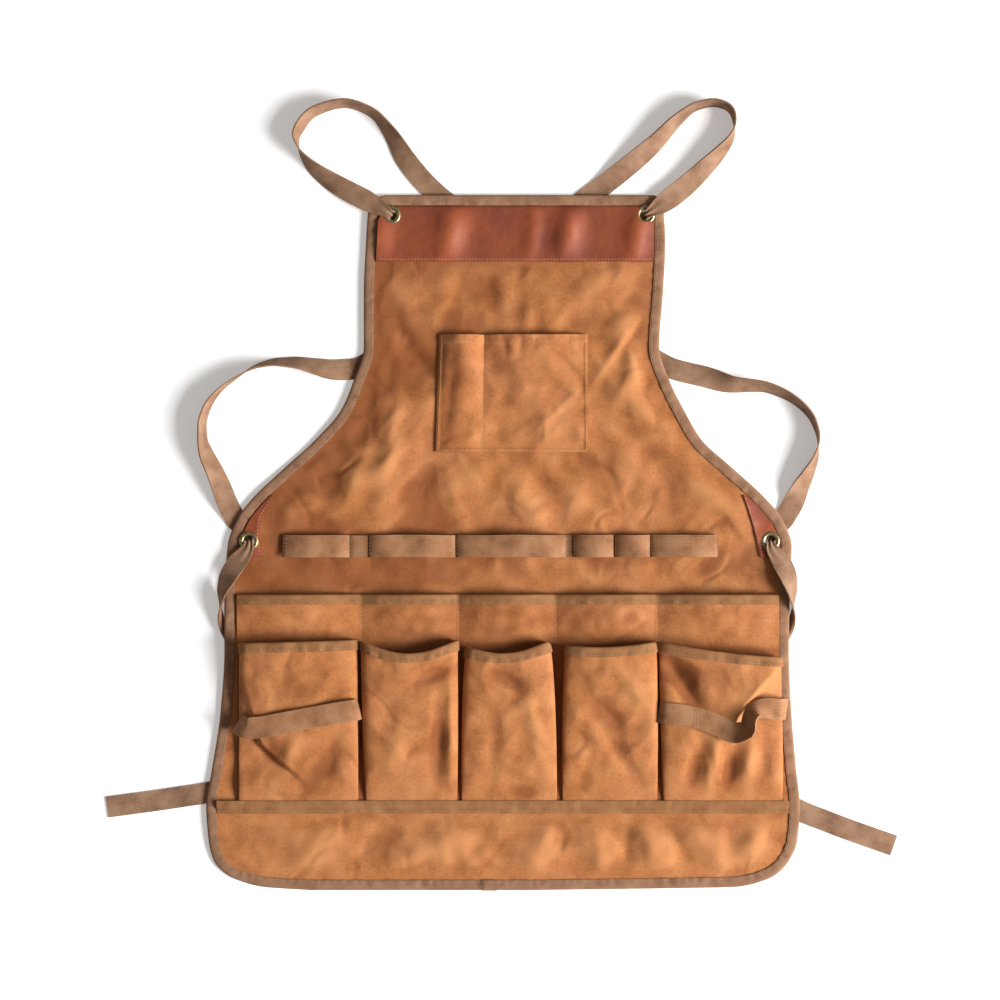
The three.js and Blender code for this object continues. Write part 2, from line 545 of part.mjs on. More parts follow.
// Closed skin over a row of like sections, either a ring or with its two ends closed by the given quads.
// The second half of a section is split along the other diagonal, so that both faces of a twisted wall match.
function skinOver(sections, ring, endQuads) {
  const sides = sections[0].length;
  const faces = [];
  const at = (i, k) => (i % sections.length) * sides + (k % sides);
  const last = ring ? sections.length : sections.length - 1;
  for (let i = 0; i < last; i += 1) {
    for (let k = 0; k < sides; k += 1) {
      const [a, b, c, d] = [at(i, k), at(i + 1, k), at(i + 1, k + 1), at(i, k + 1)];
      if (k < sides / 2) {
        faces.push(a, b, c, a, c, d);
      } else {
        faces.push(a, b, d, b, c, d);
      }
    }
  }
  for (const [a, b, c, d] of ring ? [] : endQuads) {
    const end = sections.length - 1;
    faces.push(at(0, a), at(0, b), at(0, c), at(0, a), at(0, c), at(0, d));
    faces.push(at(end, a), at(end, c), at(end, b), at(end, a), at(end, d), at(end, c));
  }
  return geometryFrom(sections.flat(), faces);
}
const BAR_END = [[0, 1, 2, 3]];
const CHANNEL_END = [[0, 1, 6, 7], [1, 2, 5, 6], [2, 3, 4, 5]];

// Cut with a tool solid
function asManifold(geometry) {
  const bare = geometry.clone();
  bare.deleteAttribute("normal");
  bare.deleteAttribute("uv");
  const merged = mergeVertices(bare, MERGE);
  return new wasm.Manifold(new wasm.Mesh({
    numProp: 3,
    vertProperties: new Float32Array(merged.attributes.position.array),
    triVerts: new Uint32Array(merged.index.array),
  }));
}
function asGeometry(solid) {
  const mesh = solid.getMesh();
  const geometry = new THREE.BufferGeometry();
  geometry.setAttribute("position", new THREE.Float32BufferAttribute(mesh.vertProperties, 3));
  geometry.setIndex([...mesh.triVerts]);
  geometry.computeVertexNormals();
  return geometry;
}
function withEyeletHoles(geometry) {
  let solid = asManifold(geometry);
  for (const eyelet of EYELETS) {
    const { radius, depth } = EYELET_HOLE;
    const drill = new THREE.CylinderGeometry(radius, radius, depth, EYELET.sides);
    drill.rotateX(Math.PI / 2);
    drill.translate(eyelet.x, eyelet.y, 0);
    solid = solid.subtract(asManifold(drill));
  }
  return asGeometry(solid);
}

const apron = new THREE.Group();
function addPiece(name, geometry, finish) {
  const piece = new THREE.Mesh(geometry, new THREE.MeshStandardMaterial(finish));
  piece.name = name;
  apron.add(piece);
}

const point = (x, y, z) => new THREE.Vector3(x, y, z);

// Sheet of even gauge: a grid of places, and the height of its underside at each
function sheetOver(places, heightOf, gauge) {
  const under = places.map((row) => row.map(([x, y]) => point(x, y, heightOf(x, y))));
  const over = under.map((row) => row.map((p) => point(p.x, p.y, p.z + gauge)));
  return wallBetween(over, under);
}

// Heights at which the panel's rows lie: every row of its edge table, with finer steps where it is folded
function panelHeights() {
  const heights = [];
  for (let i = 0; i < PANEL_EDGE.length - 1; i += 1) {
    const high = PANEL_EDGE[i].y;
    const low = PANEL_EDGE[i + 1].y;
    const folded = FOLDED_ZONES.some((zone) => high <= zone.high && low >= zone.low);
    const steps = Math.ceil((high - low) / (folded ? FOLDED_STEP : PLAIN_STEP));
    for (let k = 0; k < steps; k += 1) {
      heights.push(lerp(high, low, k / steps));
    }
  }
  return [...heights, HEM];
}

// A row of evenly spaced places across
function rowBetween(from, to, columns, y) {
  const row = [];
  for (let j = 0; j <= columns; j += 1) {
    row.push([lerp(from, to, j / columns), y]);
  }
  return row;
}

// The stretch of the panel between two heights
function bodyPanel(high, low) {
  const between = panelHeights().filter((y) => y < high && y > low);
  const rows = [high, ...between, low];
  const places = rows.map((y) => rowBetween(panelLeft(y), panelRight(y), PANEL_COLUMNS, y));
  return withEyeletHoles(sheetOver(places, panelUnder, CANVAS));
}

// The rim of the panel as one ring of places: down the left side, along the hem, up the right, along the top
function rimPlaces() {
  const heights = panelHeights();
  const left = heights.map((y) => new THREE.Vector2(panelLeft(y), y));
  const right = heights.map((y) => new THREE.Vector2(panelRight(y), y)).reverse();
  const between = (a, b) => {
    const inner = [];
    for (let k = 1; k < RIM_STEPS; k += 1) {
      inner.push(a.clone().lerp(b, k / RIM_STEPS));
    }
    return inner;
  };
  const hem = between(left[left.length - 1], right[0]);
  const top = between(right[right.length - 1], left[0]);
  return [...left, ...hem, ...right, ...top];
}

// Folded tape over the rim: a channel whose two legs reach inwards over and under the panel
function edgeBinding() {
  const rim = rimPlaces();
  const sections = rim.map((place, i) => {
    const before = rim[(i + rim.length - 1) % rim.length];
    const after = rim[(i + 1) % rim.length];
    const run = after.clone().sub(before).normalize();
    const inwards = new THREE.Vector2(-run.y, run.x);
    const inner = place.clone().addScaledVector(inwards, BINDING_REACH);
    const snug = place.clone().addScaledVector(inwards, -SEAM);
    const outer = place.clone().addScaledVector(inwards, -SEAM - TAPE);
    const innerUnder = panelUnder(inner.x, inner.y);
    const edgeUnder = panelUnder(place.x, place.y);
    const rise = CANVAS + SEAM;
    return [
      point(inner.x, inner.y, innerUnder + rise + TAPE),
      point(outer.x, outer.y, edgeUnder + rise + TAPE),
      point(outer.x, outer.y, edgeUnder - SEAM - TAPE),
      point(inner.x, inner.y, innerUnder - SEAM - TAPE),
      point(inner.x, inner.y, innerUnder - SEAM),
      point(snug.x, snug.y, edgeUnder - SEAM),
      point(snug.x, snug.y, edgeUnder + rise),
      point(inner.x, inner.y, innerUnder + rise),
    ];
  });
  return skinOver(sections, true);
}

function leatherYoke() {
  const places = [];
  for (let i = 0; i <= YOKE.rows; i += 1) {
    const y = lerp(YOKE.top, YOKE.bottom, i / YOKE.rows);
    const inset = BINDING_REACH + YOKE.clear + YOKE.corner * smoothstep(y, YOKE.cornerFrom, YOKE.top);
    places.push(rowBetween(panelLeft(y) + inset, panelRight(y) - inset, YOKE.columns, y));
  }
  const under = (x, y) => {
    let swell = 0;
    for (const row of YOKE_SWELLS) {
      swell += row.rise * Math.exp(-(((x - row.x) / row.spread) ** 2));
    }
    return panelOver(x, y) + SEAM + swell * Math.sin((Math.PI * (YOKE.top - y)) / (YOKE.top - YOKE.bottom));
  };
  return withEyeletHoles(sheetOver(places, under, LEATHER));
}

// Patch between its own inner edge and the inner edge of the binding, which runs aslant there
function cornerPatch(patch) {
  const top = patch.inner[0].y;
  const bottom = patch.inner[patch.inner.length - 1].y;
  const inwards = patch.side === "left" ? 1 : -1;
  const places = [];
  for (let i = 0; i <= PATCH_GRID.rows; i += 1) {
    const y = lerp(top, bottom, i / PATCH_GRID.rows);
    const edge = patch.side === "left" ? panelLeft : panelRight;
    const slant = edge(y + 1) - edge(y);
    const outer = edge(y) + inwards * (BINDING_REACH * Math.hypot(1, slant) + PATCH_GRID.clear);
    const inner = readColumn(patch.inner, "y", y, "x");
    places.push(rowBetween(outer, inner, PATCH_GRID.columns, y));
  }
  return withEyeletHoles(sheetOver(places, (x, y) => panelOver(x, y) + SEAM, LEATHER));
}

// Eyelet: a barrel through canvas and leather with a rolled rim above and a flat one below
function brassEyelet(eyelet) {
  const bottom = panelUnder(eyelet.x, eyelet.y) - SEAM;
  const top = panelOver(eyelet.x, eyelet.y) + SEAM + LEATHER + SEAM;
  const profile = [
    [EYELET.bore, bottom - EYELET.flange],
    [EYELET.washer, bottom - EYELET.flange],
    [EYELET.washer, bottom],
    [EYELET.barrel, bottom],
    [EYELET.barrel, top],
    [EYELET.rim, top],
    [(EYELET.rim + EYELET.bore) / 2, top + EYELET.flange + EYELET.crown],
    [EYELET.bore, top + EYELET.crown],
    [EYELET.bore, bottom - EYELET.flange],
  ].map(([radius, height]) => new THREE.Vector2(radius, height));
  const ring = new THREE.LatheGeometry(profile, EYELET.sides);
  ring.rotateX(Math.PI / 2);
  ring.translate(eyelet.x, eyelet.y, 0);
  ring.deleteAttribute("normal");
  ring.deleteAttribute("uv");
  return faceOutwards(mergeVertices(ring, MERGE));
}

function bibPocket() {
  const across = [];
  for (const bay of BIB_BAYS) {
    for (let k = 0; k < bay.steps; k += 1) {
      across.push(lerp(bay.from, bay.to, k / bay.steps));
    }
  }
  across.push(1);
  const places = [];
  const swells = new Map();
  for (let i = 0; i <= BIB_POCKET_ROWS; i += 1) {
    const down = i / BIB_POCKET_ROWS;
    const y = lerp(BIB_POCKET.mouth, BIB_POCKET.foot, down);
    const left = lerp(BIB_POCKET.left, BIB_POCKET.footLeft, down);
    const right = lerp(BIB_POCKET.right, BIB_POCKET.footRight, down);
    places.push(across.map((share) => {
      const bay = BIB_BAYS.find((row) => share >= row.from && share <= row.to);
      const x = lerp(left, right, share);
      const bow = Math.sin((Math.PI * (share - bay.from)) / (bay.to - bay.from));
      swells.set(`${x},${y}`, bay.swell * bow * (1 - down) ** BIB_POCKET_CLOSING);
      return [x, y];
    }));
  }
  return sheetOver(places, (x, y) => panelOver(x, y) + SEAM + swells.get(`${x},${y}`), CANVAS);
}

// Bar of webbing along a row of stations, each with a middle, a width direction and a thickness direction
function webbingBar(stations) {
  const sections = stations.map(({ middle, width, gauge }) => [[1, 1], [-1, 1], [-1, -1], [1, -1]].map(
    ([w, g]) => middle.clone().addScaledVector(width, w / 2).addScaledVector(gauge, g / 2),
  ));
  return skinOver(sections, false, BAR_END);
}

function toolLoopStrip() {
  const stations = [];
  let start = LOOP_STRIP_START;
  for (const loop of STRIP_LOOPS) {
    const steps = Math.ceil((loop.end - start) / STRIP_STEP);
    for (let k = 0; k <= steps; k += 1) {
      if (k === 0 && stations.length > 0) continue;
      const share = k / steps;
      const x = lerp(start, loop.end, share);
      const stand = loop.stand * Math.sin(Math.PI * share) ** STRIP_ROUNDNESS;
      const under = Math.max(panelOver(x, LOOP_STRIP_Y - LOOP_STRIP_WIDE / 2), panelOver(x, LOOP_STRIP_Y),
        panelOver(x, LOOP_STRIP_Y + LOOP_STRIP_WIDE / 2));
      stations.push({
        middle: point(x, LOOP_STRIP_Y, under + LOOSE_SEAM + SEAM + stand + WEBBING / 2),
        width: point(0, LOOP_STRIP_WIDE, 0),
        gauge: point(0, 0, WEBBING),
      });
    }
    start = loop.end;
  }
  return webbingBar(stations);
}

// Places across the upper pocket, closest where it bulges between its stitch lines
function upperPocketAcross() {
  const across = [];
  for (let i = 0; i < UPPER_STITCHES.length - 1; i += 1) {
    for (let k = 0; k < UPPER_STEPS; k += 1) {
      across.push(lerp(UPPER_STITCHES[i], UPPER_STITCHES[i + 1], k / UPPER_STEPS));
    }
  }
  return [...across, UPPER_STITCHES[UPPER_STITCHES.length - 1]];
}

function upperPocket() {
  const across = upperPocketAcross();
  const places = UPPER_ROWS.map((down) => across.map((x) => [x, UPPER.mouth - down]));
  return sheetOver(places, (x, y) => upperPocketOver(x, y) - CANVAS, CANVAS);
}

// Folded tape over the mouth of one bay of the upper pocket
function upperPocketBinding(bay) {
  const end = SEAM + TAPE;
  const across = upperPocketAcross().slice(bay * UPPER_STEPS, (bay + 1) * UPPER_STEPS + 1);
  across[0] += SEAM / 2;
  across[UPPER_STEPS] -= SEAM / 2;
  const sections = across.map((x) => {
    const low = UPPER.mouth - BINDING_REACH;
    const over = upperPocketOver(x, UPPER.mouth);
    const overLow = upperPocketOver(x, low);
    const inner = CANVAS + LOOSE_SEAM;
    return [
      point(x, low, overLow + LOOSE_SEAM + TAPE),
      point(x, UPPER.mouth + end, over + LOOSE_SEAM + TAPE),
      point(x, UPPER.mouth + end, over - inner - TAPE),
      point(x, low, overLow - inner - TAPE),
      point(x, low, overLow - inner),
      point(x, UPPER.mouth + SEAM, over - inner),
      point(x, UPPER.mouth + SEAM, over + LOOSE_SEAM),
      point(x, low, overLow + LOOSE_SEAM),
    ];
  });
  return skinOver(sections, false, CHANNEL_END);
}

// A place on a bellows pocket: arc runs over the front from foot to foot, down runs from the lip to the base
function frontPocketPoint(pocket, arc, down, inset) {
  const rounding = 2 / BELLOWS.roundness;
  const lean = Math.cos(arc);
  const share = 0.5 - 0.5 * Math.sign(lean) * Math.abs(lean) ** rounding;
  const stand = Math.max(Math.sin(arc), 0) ** rounding;
  const lip = lerp(pocket.lips[0], pocket.lips[1], share) - pocket.sag * stand * Math.sin(Math.PI * share);
  const y = lerp(lip, FRONT_FOOT, down);
  const left = lerp(pocket.left, pocket.footLeft, down) + inset;
  const right = lerp(pocket.right, pocket.footRight, down) - inset;
  const x = lerp(left, right, share);
  let folds = 0;
  for (const fold of POCKET_FOLDS) {
    if (FRONT_POCKETS[fold.pocket] === pocket) {
      folds += ridge(fold, x, y);
    }
  }
  const swell = pocket.swell * (1 - Math.max(down, 0) ** BELLOWS.closing)
    + folds * smoothstep(1 - down, 0, BELLOWS.footFade);
  const front = Math.max(CANVAS - inset + swell, BELLOWS.leastStand) * stand;
  return point(x, y, upperPocketOver(x, y) + LOOSE_SEAM + front);
}

function frontPocket(pocket) {
  const wall = (inset) => POCKET_ROWS.map(
    (down) => POCKET_ARCS.map((arc) => frontPocketPoint(pocket, degToRad(arc), down, inset)),
  );
  return wallBetween(wall(0), wall(CANVAS));
}

// Folded tape over the lip of a front pocket
function frontPocketBinding(pocket) {
  const depth = (pocket.lips[0] + pocket.lips[1]) / 2 - FRONT_FOOT;
  const reach = BINDING_REACH / depth;
  const snug = -SEAM / depth;
  const top = -(SEAM + TAPE) / depth;
  const sections = POCKET_ARCS.slice(1, -1).map((degrees) => {
    const arc = degToRad(degrees);
    return [
      frontPocketPoint(pocket, arc, reach, -SEAM - TAPE),
      frontPocketPoint(pocket, arc, top, -SEAM - TAPE),
      frontPocketPoint(pocket, arc, top, CANVAS + SEAM + TAPE),
      frontPocketPoint(pocket, arc, reach, CANVAS + SEAM + TAPE),
      frontPocketPoint(pocket, arc, reach, CANVAS + SEAM),
      frontPocketPoint(pocket, arc, snug, CANVAS + SEAM),
      frontPocketPoint(pocket, arc, snug, -SEAM),
      frontPocketPoint(pocket, arc, reach, -SEAM),
    ];
  });
  return skinOver(sections, false, CHANNEL_END);
}

// Tape that steps down from the pockets' bottom edges to the panel
function pocketBaseTape() {
  const overPockets = (x, y) => upperPocketOver(x, y) + SEAM + CANVAS + 3 * SEAM;
  const heightOf = (x, y) => (y < BASE_TAPE.step ? panelOver(x, y) + LOOSE_SEAM : overPockets(x, y));
  const places = [BASE_TAPE.top, BASE_TAPE.step, BASE_TAPE.bottom].map(
    (y) => rowBetween(BASE_TAPE.left, BASE_TAPE.right, BASE_TAPE.columns, y),
  );
  return sheetOver(places, heightOf, TAPE);
}

// Webbing along a route, or along the stretch between two of its rows, cut short at its end by a clearance.
// It keeps its lowest edge at the route's rest height while it rolls.
function webbingAlong(route, first = 0, last = route.length - 1, clearance = 0) {
  let run = 0;
  const rows = route.map((row, i) => {
    const before = route[Math.max(i - 1, 0)];
    run += Math.hypot(row.x - before.x, row.y - before.y, row.rest - before.rest);
    return { ...row, run };
  });
  const places = [];
  rows.slice(first, last).forEach((row, i) => {
    const next = rows[first + i + 1];
    const steps = Math.max(Math.ceil((next.run - row.run) / RIBBON_STEP),
      Math.ceil(Math.abs(next.roll - row.roll) / RIBBON_TURN));
    for (let k = 0; k < steps; k += 1) {
      places.push(lerp(row.run, next.run, k / steps));
    }
  });
  places.push(rows[last].run - clearance);
  const read = (place, column) => readColumn(rows, "run", place, column);
  const middleAt = (place) => {
    const roll = degToRad(read(place, "roll"));
    const halfWide = (read(place, "wide") / 2) * Math.abs(Math.sin(roll));
    const halfThick = (WEBBING / 2) * Math.abs(Math.cos(roll));
    return point(read(place, "x"), read(place, "y"), read(place, "rest") + halfWide + halfThick);
  };
  const stations = places.map((place) => {
    const ahead = middleAt(Math.min(place + RIBBON_REACH, run));
    const behind = middleAt(Math.max(place - RIBBON_REACH, 0));
    const tangent = ahead.sub(behind).normalize();
    const heading = point(tangent.x, tangent.y, 0).normalize();
    const right = point(heading.y, -heading.x, 0);
    const up = right.clone().cross(tangent);
    const roll = degToRad(read(place, "roll"));
    const width = right.clone().multiplyScalar(Math.cos(roll)).addScaledVector(up, Math.sin(roll));
    const gauge = up.clone().multiplyScalar(Math.cos(roll)).addScaledVector(right, -Math.sin(roll));
    return {
      middle: middleAt(place),
      width: width.multiplyScalar(read(place, "wide")),
      gauge: gauge.multiplyScalar(WEBBING),
    };
  });
  return webbingBar(stations);
}

addPiece("body_panel_bib", bodyPanel(PANEL_TOP, PANEL_JOIN + SEAM), FINISH.canvas);
addPiece("body_panel_skirt", bodyPanel(PANEL_JOIN, HEM), FINISH.canvas);
addPiece("edge_binding", edgeBinding(), FINISH.tape);
addPiece("leather_yoke", leatherYoke(), FINISH.leather);
for (const patch of PATCHES) {
  addPiece(patch.name, cornerPatch(patch), FINISH.leather);
}
for (const eyelet of EYELETS) {
  addPiece(eyelet.name, brassEyelet(eyelet), FINISH.brass);
}
addPiece("bib_pocket", bibPocket(), FINISH.canvas);
addPiece("tool_loop_strip", toolLoopStrip(), FINISH.webbing);
addPiece("upper_pocket", upperPocket(), FINISH.canvas);
for (let bay = 0; bay < UPPER_STITCHES.length - 1; bay += 1) {
  addPiece(`upper_pocket_binding_${bay + 1}`, upperPocketBinding(bay), FINISH.tape);
}
FRONT_POCKETS.forEach((pocket, i) => {
  addPiece(`front_pocket_${i + 1}`, frontPocket(pocket), FINISH.canvas);
  addPiece(`front_pocket_binding_${i + 1}`, frontPocketBinding(pocket), FINISH.tape);
});
addPiece("pocket_base_tape", pocketBaseTape(), FINISH.tape);
addPiece("pocket_band_left", webbingAlong(BAND_LEFT_ROUTE), FINISH.webbing);
addPiece("pocket_band_right", webbingAlong(BAND_RIGHT_ROUTE), FINISH.webbing);
for (const { route, lengths, joins } of STRAPS) {
  const ends = [0, ...joins.map((y) => route.findIndex((row) => row.y === y)), route.length - 1];
  lengths.forEach((name, i) => {
    const clearance = i < joins.length ? SEAM : 0;
    addPiece(name, webbingAlong(route, ends[i], ends[i + 1], clearance), FINISH.webbing);
  });
}

export default apron;
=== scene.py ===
"""Canvas work apron laid out flat: cloth, leather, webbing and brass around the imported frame."""
import logging
import math
from dataclasses import dataclass, field
from enum import Enum
from typing import Any, Iterator, Sequence

import bpy
import numpy as np
from mathutils import Matrix, Vector
from mathutils.bvhtree import BVHTree


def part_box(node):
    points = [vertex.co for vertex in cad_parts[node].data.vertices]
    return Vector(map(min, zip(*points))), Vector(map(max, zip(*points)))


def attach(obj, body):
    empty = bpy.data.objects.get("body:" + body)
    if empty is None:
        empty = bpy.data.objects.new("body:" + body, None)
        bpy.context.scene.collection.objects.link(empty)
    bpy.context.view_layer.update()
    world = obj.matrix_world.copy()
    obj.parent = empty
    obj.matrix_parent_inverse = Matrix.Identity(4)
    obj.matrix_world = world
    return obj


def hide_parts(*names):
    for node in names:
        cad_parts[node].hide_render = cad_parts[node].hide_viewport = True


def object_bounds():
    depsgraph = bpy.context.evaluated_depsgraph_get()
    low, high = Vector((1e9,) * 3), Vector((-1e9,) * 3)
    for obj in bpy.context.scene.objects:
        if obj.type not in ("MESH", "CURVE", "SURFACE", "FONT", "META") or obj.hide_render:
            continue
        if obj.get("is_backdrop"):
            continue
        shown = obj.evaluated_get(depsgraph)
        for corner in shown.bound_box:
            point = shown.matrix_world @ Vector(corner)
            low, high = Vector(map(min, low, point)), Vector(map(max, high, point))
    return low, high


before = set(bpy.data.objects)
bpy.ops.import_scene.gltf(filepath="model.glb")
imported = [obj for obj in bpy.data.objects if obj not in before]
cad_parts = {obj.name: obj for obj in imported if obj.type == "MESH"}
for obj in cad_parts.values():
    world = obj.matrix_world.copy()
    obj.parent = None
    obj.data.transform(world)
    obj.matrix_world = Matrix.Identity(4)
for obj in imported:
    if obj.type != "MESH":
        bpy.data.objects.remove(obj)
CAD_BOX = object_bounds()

LOG = logging.getLogger("apron")
Array = np.ndarray
Piece = bpy.types.Object
Material = bpy.types.Material
Colour = tuple[float, float, float, float]
Span = tuple[float, float]

# Tables are in millimetres, and the scene is in metres
MM = 0.001
BODY = "root"

# Gauges of the materials, and the clearance between two pieces that are sewn together
CANVAS = 1.2
LEATHER = 1.6
TAPE = 0.9
WEBBING = 1.5
SEAM = 0.3
LOOSE_SEAM = 0.5
BINDING_REACH = 9.0


class Slot(Enum):
    """Material slots of the part's record."""

    CANVAS = "canvas"
    TAPE = "tape"
    WEBBING = "webbing"
    LEATHER = "leather"
    BRASS = "brass"


class Hold(Enum):
    """How a sheet of cloth is held."""

    LAID = "laid"
    FOLDED = "folded"
    GATHERED = "gathered"


class Growth(Enum):
    """Which way a sheet gets its gauge, along its faces' normals."""

    OUTWARDS = 1.0
    INWARDS = -1.0
    BOTH = 0.0


class Thread(Enum):
    """Sewing threads, by the name of their finish."""

    PALE = "pale_thread"
    BROWN = "brown_thread"


def smoothstep(value: Array, low: float, high: float) -> Array:
    """Ease from 0 at low to 1 at high."""
    share = np.clip((np.asarray(value, float) - low) / (high - low), 0.0, 1.0)
    return share * share * (3.0 - 2.0 * share)


def lerp(a: Any, b: Any, share: Any) -> Any:
    """Blend from a to b by a share."""
    return a + (b - a) * share


class Curve:
    """Smooth curve through the rows of a table, which never overshoots a row."""

    def __init__(self, places: Sequence[float], values: Sequence[float]) -> None:
        """Work out the slope at each row.

        Args:
            places: Where the rows lie, rising or falling.
            values: The value at each row.
        """
        order = np.argsort(places)
        self.places = np.asarray(places, float)[order]
        self.values = np.asarray(values, float)[order]
        steps = np.diff(self.values) / np.diff(self.places)
        product = steps[:-1] * steps[1:]
        total = np.where(product > 0, steps[:-1] + steps[1:], 1.0)
        inner = np.where(product > 0, 2.0 * product / total, 0.0)
        self.slopes = np.concatenate([steps[:1], inner, steps[-1:]])

    @classmethod
    def through(cls, rows: Sequence[Sequence[float]], column: int) -> "Curve":
        """Curve through a column of a table, by the places in its first column."""
        return cls([row[0] for row in rows], [row[column] for row in rows])

    def __call__(self, place: Any) -> Array:
        """Read the curve.

        Args:
            place: One place or an array of them.

        Returns:
            The values there.
        """
        place = np.asarray(place, float)
        row = np.clip(np.searchsorted(self.places, place, side="right") - 1, 0, len(self.places) - 2)
        span = self.places[row + 1] - self.places[row]
        t = np.clip((place - self.places[row]) / span, 0.0, 1.0)
        rise = (2 * t - 3) * t * t
        return ((1 + rise) * self.values[row] - rise * self.values[row + 1]
                + ((t - 2) * t + 1) * t * self.slopes[row] * span
                + (t - 1) * t * t * self.slopes[row + 1] * span)


class Unevenness:
    """Repeatable soft unevenness over the plane, from about -1 to 1."""

    SIZE = 64
    SPREAD = 1.5

    def __init__(self, seed: int) -> None:
        """Draw the slopes at the corners of the lattice from a seed."""
        turns = np.random.default_rng(seed).uniform(0.0, 2.0 * np.pi, (self.SIZE, self.SIZE))
        self.east, self.north = np.cos(turns), np.sin(turns)

    def __call__(self, x: Any, y: Any, scale: float) -> Array:
        """Read the unevenness.

        Args:
            x: Places across.
            y: Places along.
            scale: Size of one bump.

        Returns:
            Heights from about -1 to 1.
        """
        u, v = np.broadcast_arrays(np.asarray(x, float) / scale, np.asarray(y, float) / scale)
        i = np.floor(u).astype(int)
        j = np.floor(v).astype(int)
        u = u - i
        v = v - j

        def corner(a: int, b: int) -> Array:
            """Height that one corner of the lattice gives."""
            at = ((i + a) % self.SIZE, (j + b) % self.SIZE)
            return self.east[at] * (u - a) + self.north[at] * (v - b)

        across = u * u * u * (u * (6 * u - 15) + 10)
        along = v * v * v * (v * (6 * v - 15) + 10)
        low = lerp(corner(0, 0), corner(1, 0), across)
        high = lerp(corner(0, 1), corner(1, 1), across)
        return self.SPREAD * lerp(low, high, along)


CREASING = Unevenness(11)
PUCKERING = Unevenness(29)


@dataclass(frozen=True)
class Fold:
    """Soft ridge of cloth, or a dent where its rise is below zero.

    The turn is in degrees, and a crest below 2 gives the ridge a sharper edge.
    """

    x: float
    y: float
    turn: float
    reach: float
    spread: float
    rise: float
    crest: float = 2.0

    def height(self, x: Array, y: Array) -> Array:
        """Height of the ridge at places.

        Args:
            x: Places across.
            y: Places along.

        Returns:
            Heights in millimetres.
        """
        turn = math.radians(self.turn)
        dx = x - self.x
        dy = y - self.y
        along = (dx * math.cos(turn) + dy * math.sin(turn)) / self.reach
        across = (dy * math.cos(turn) - dx * math.sin(turn)) / self.spread
        return self.rise * np.exp(-along * along - np.abs(across) ** self.crest)


@dataclass(frozen=True)
class Rumple:
    """Layer of small rumples of one size, or of sharp ridges where it has a crest."""

    gain: float
    size: float
    shift_x: float = 0.0
    shift_y: float = 0.0
    crest: float = 0.0

    def height(self, x: Array, y: Array) -> Array:
        """Height of the rumples at places, in millimetres."""
        uneven = CREASING(x + self.shift_x, y + self.shift_y, self.size)
        return self.gain * (self.crest - np.abs(uneven) if self.crest else uneven)


def folded(layers: Sequence[Fold | Rumple], x: Array, y: Array) -> Array:
    """Height of folds or rumples together at places, in millimetres."""
    return sum(layer.height(x, y) for layer in layers)


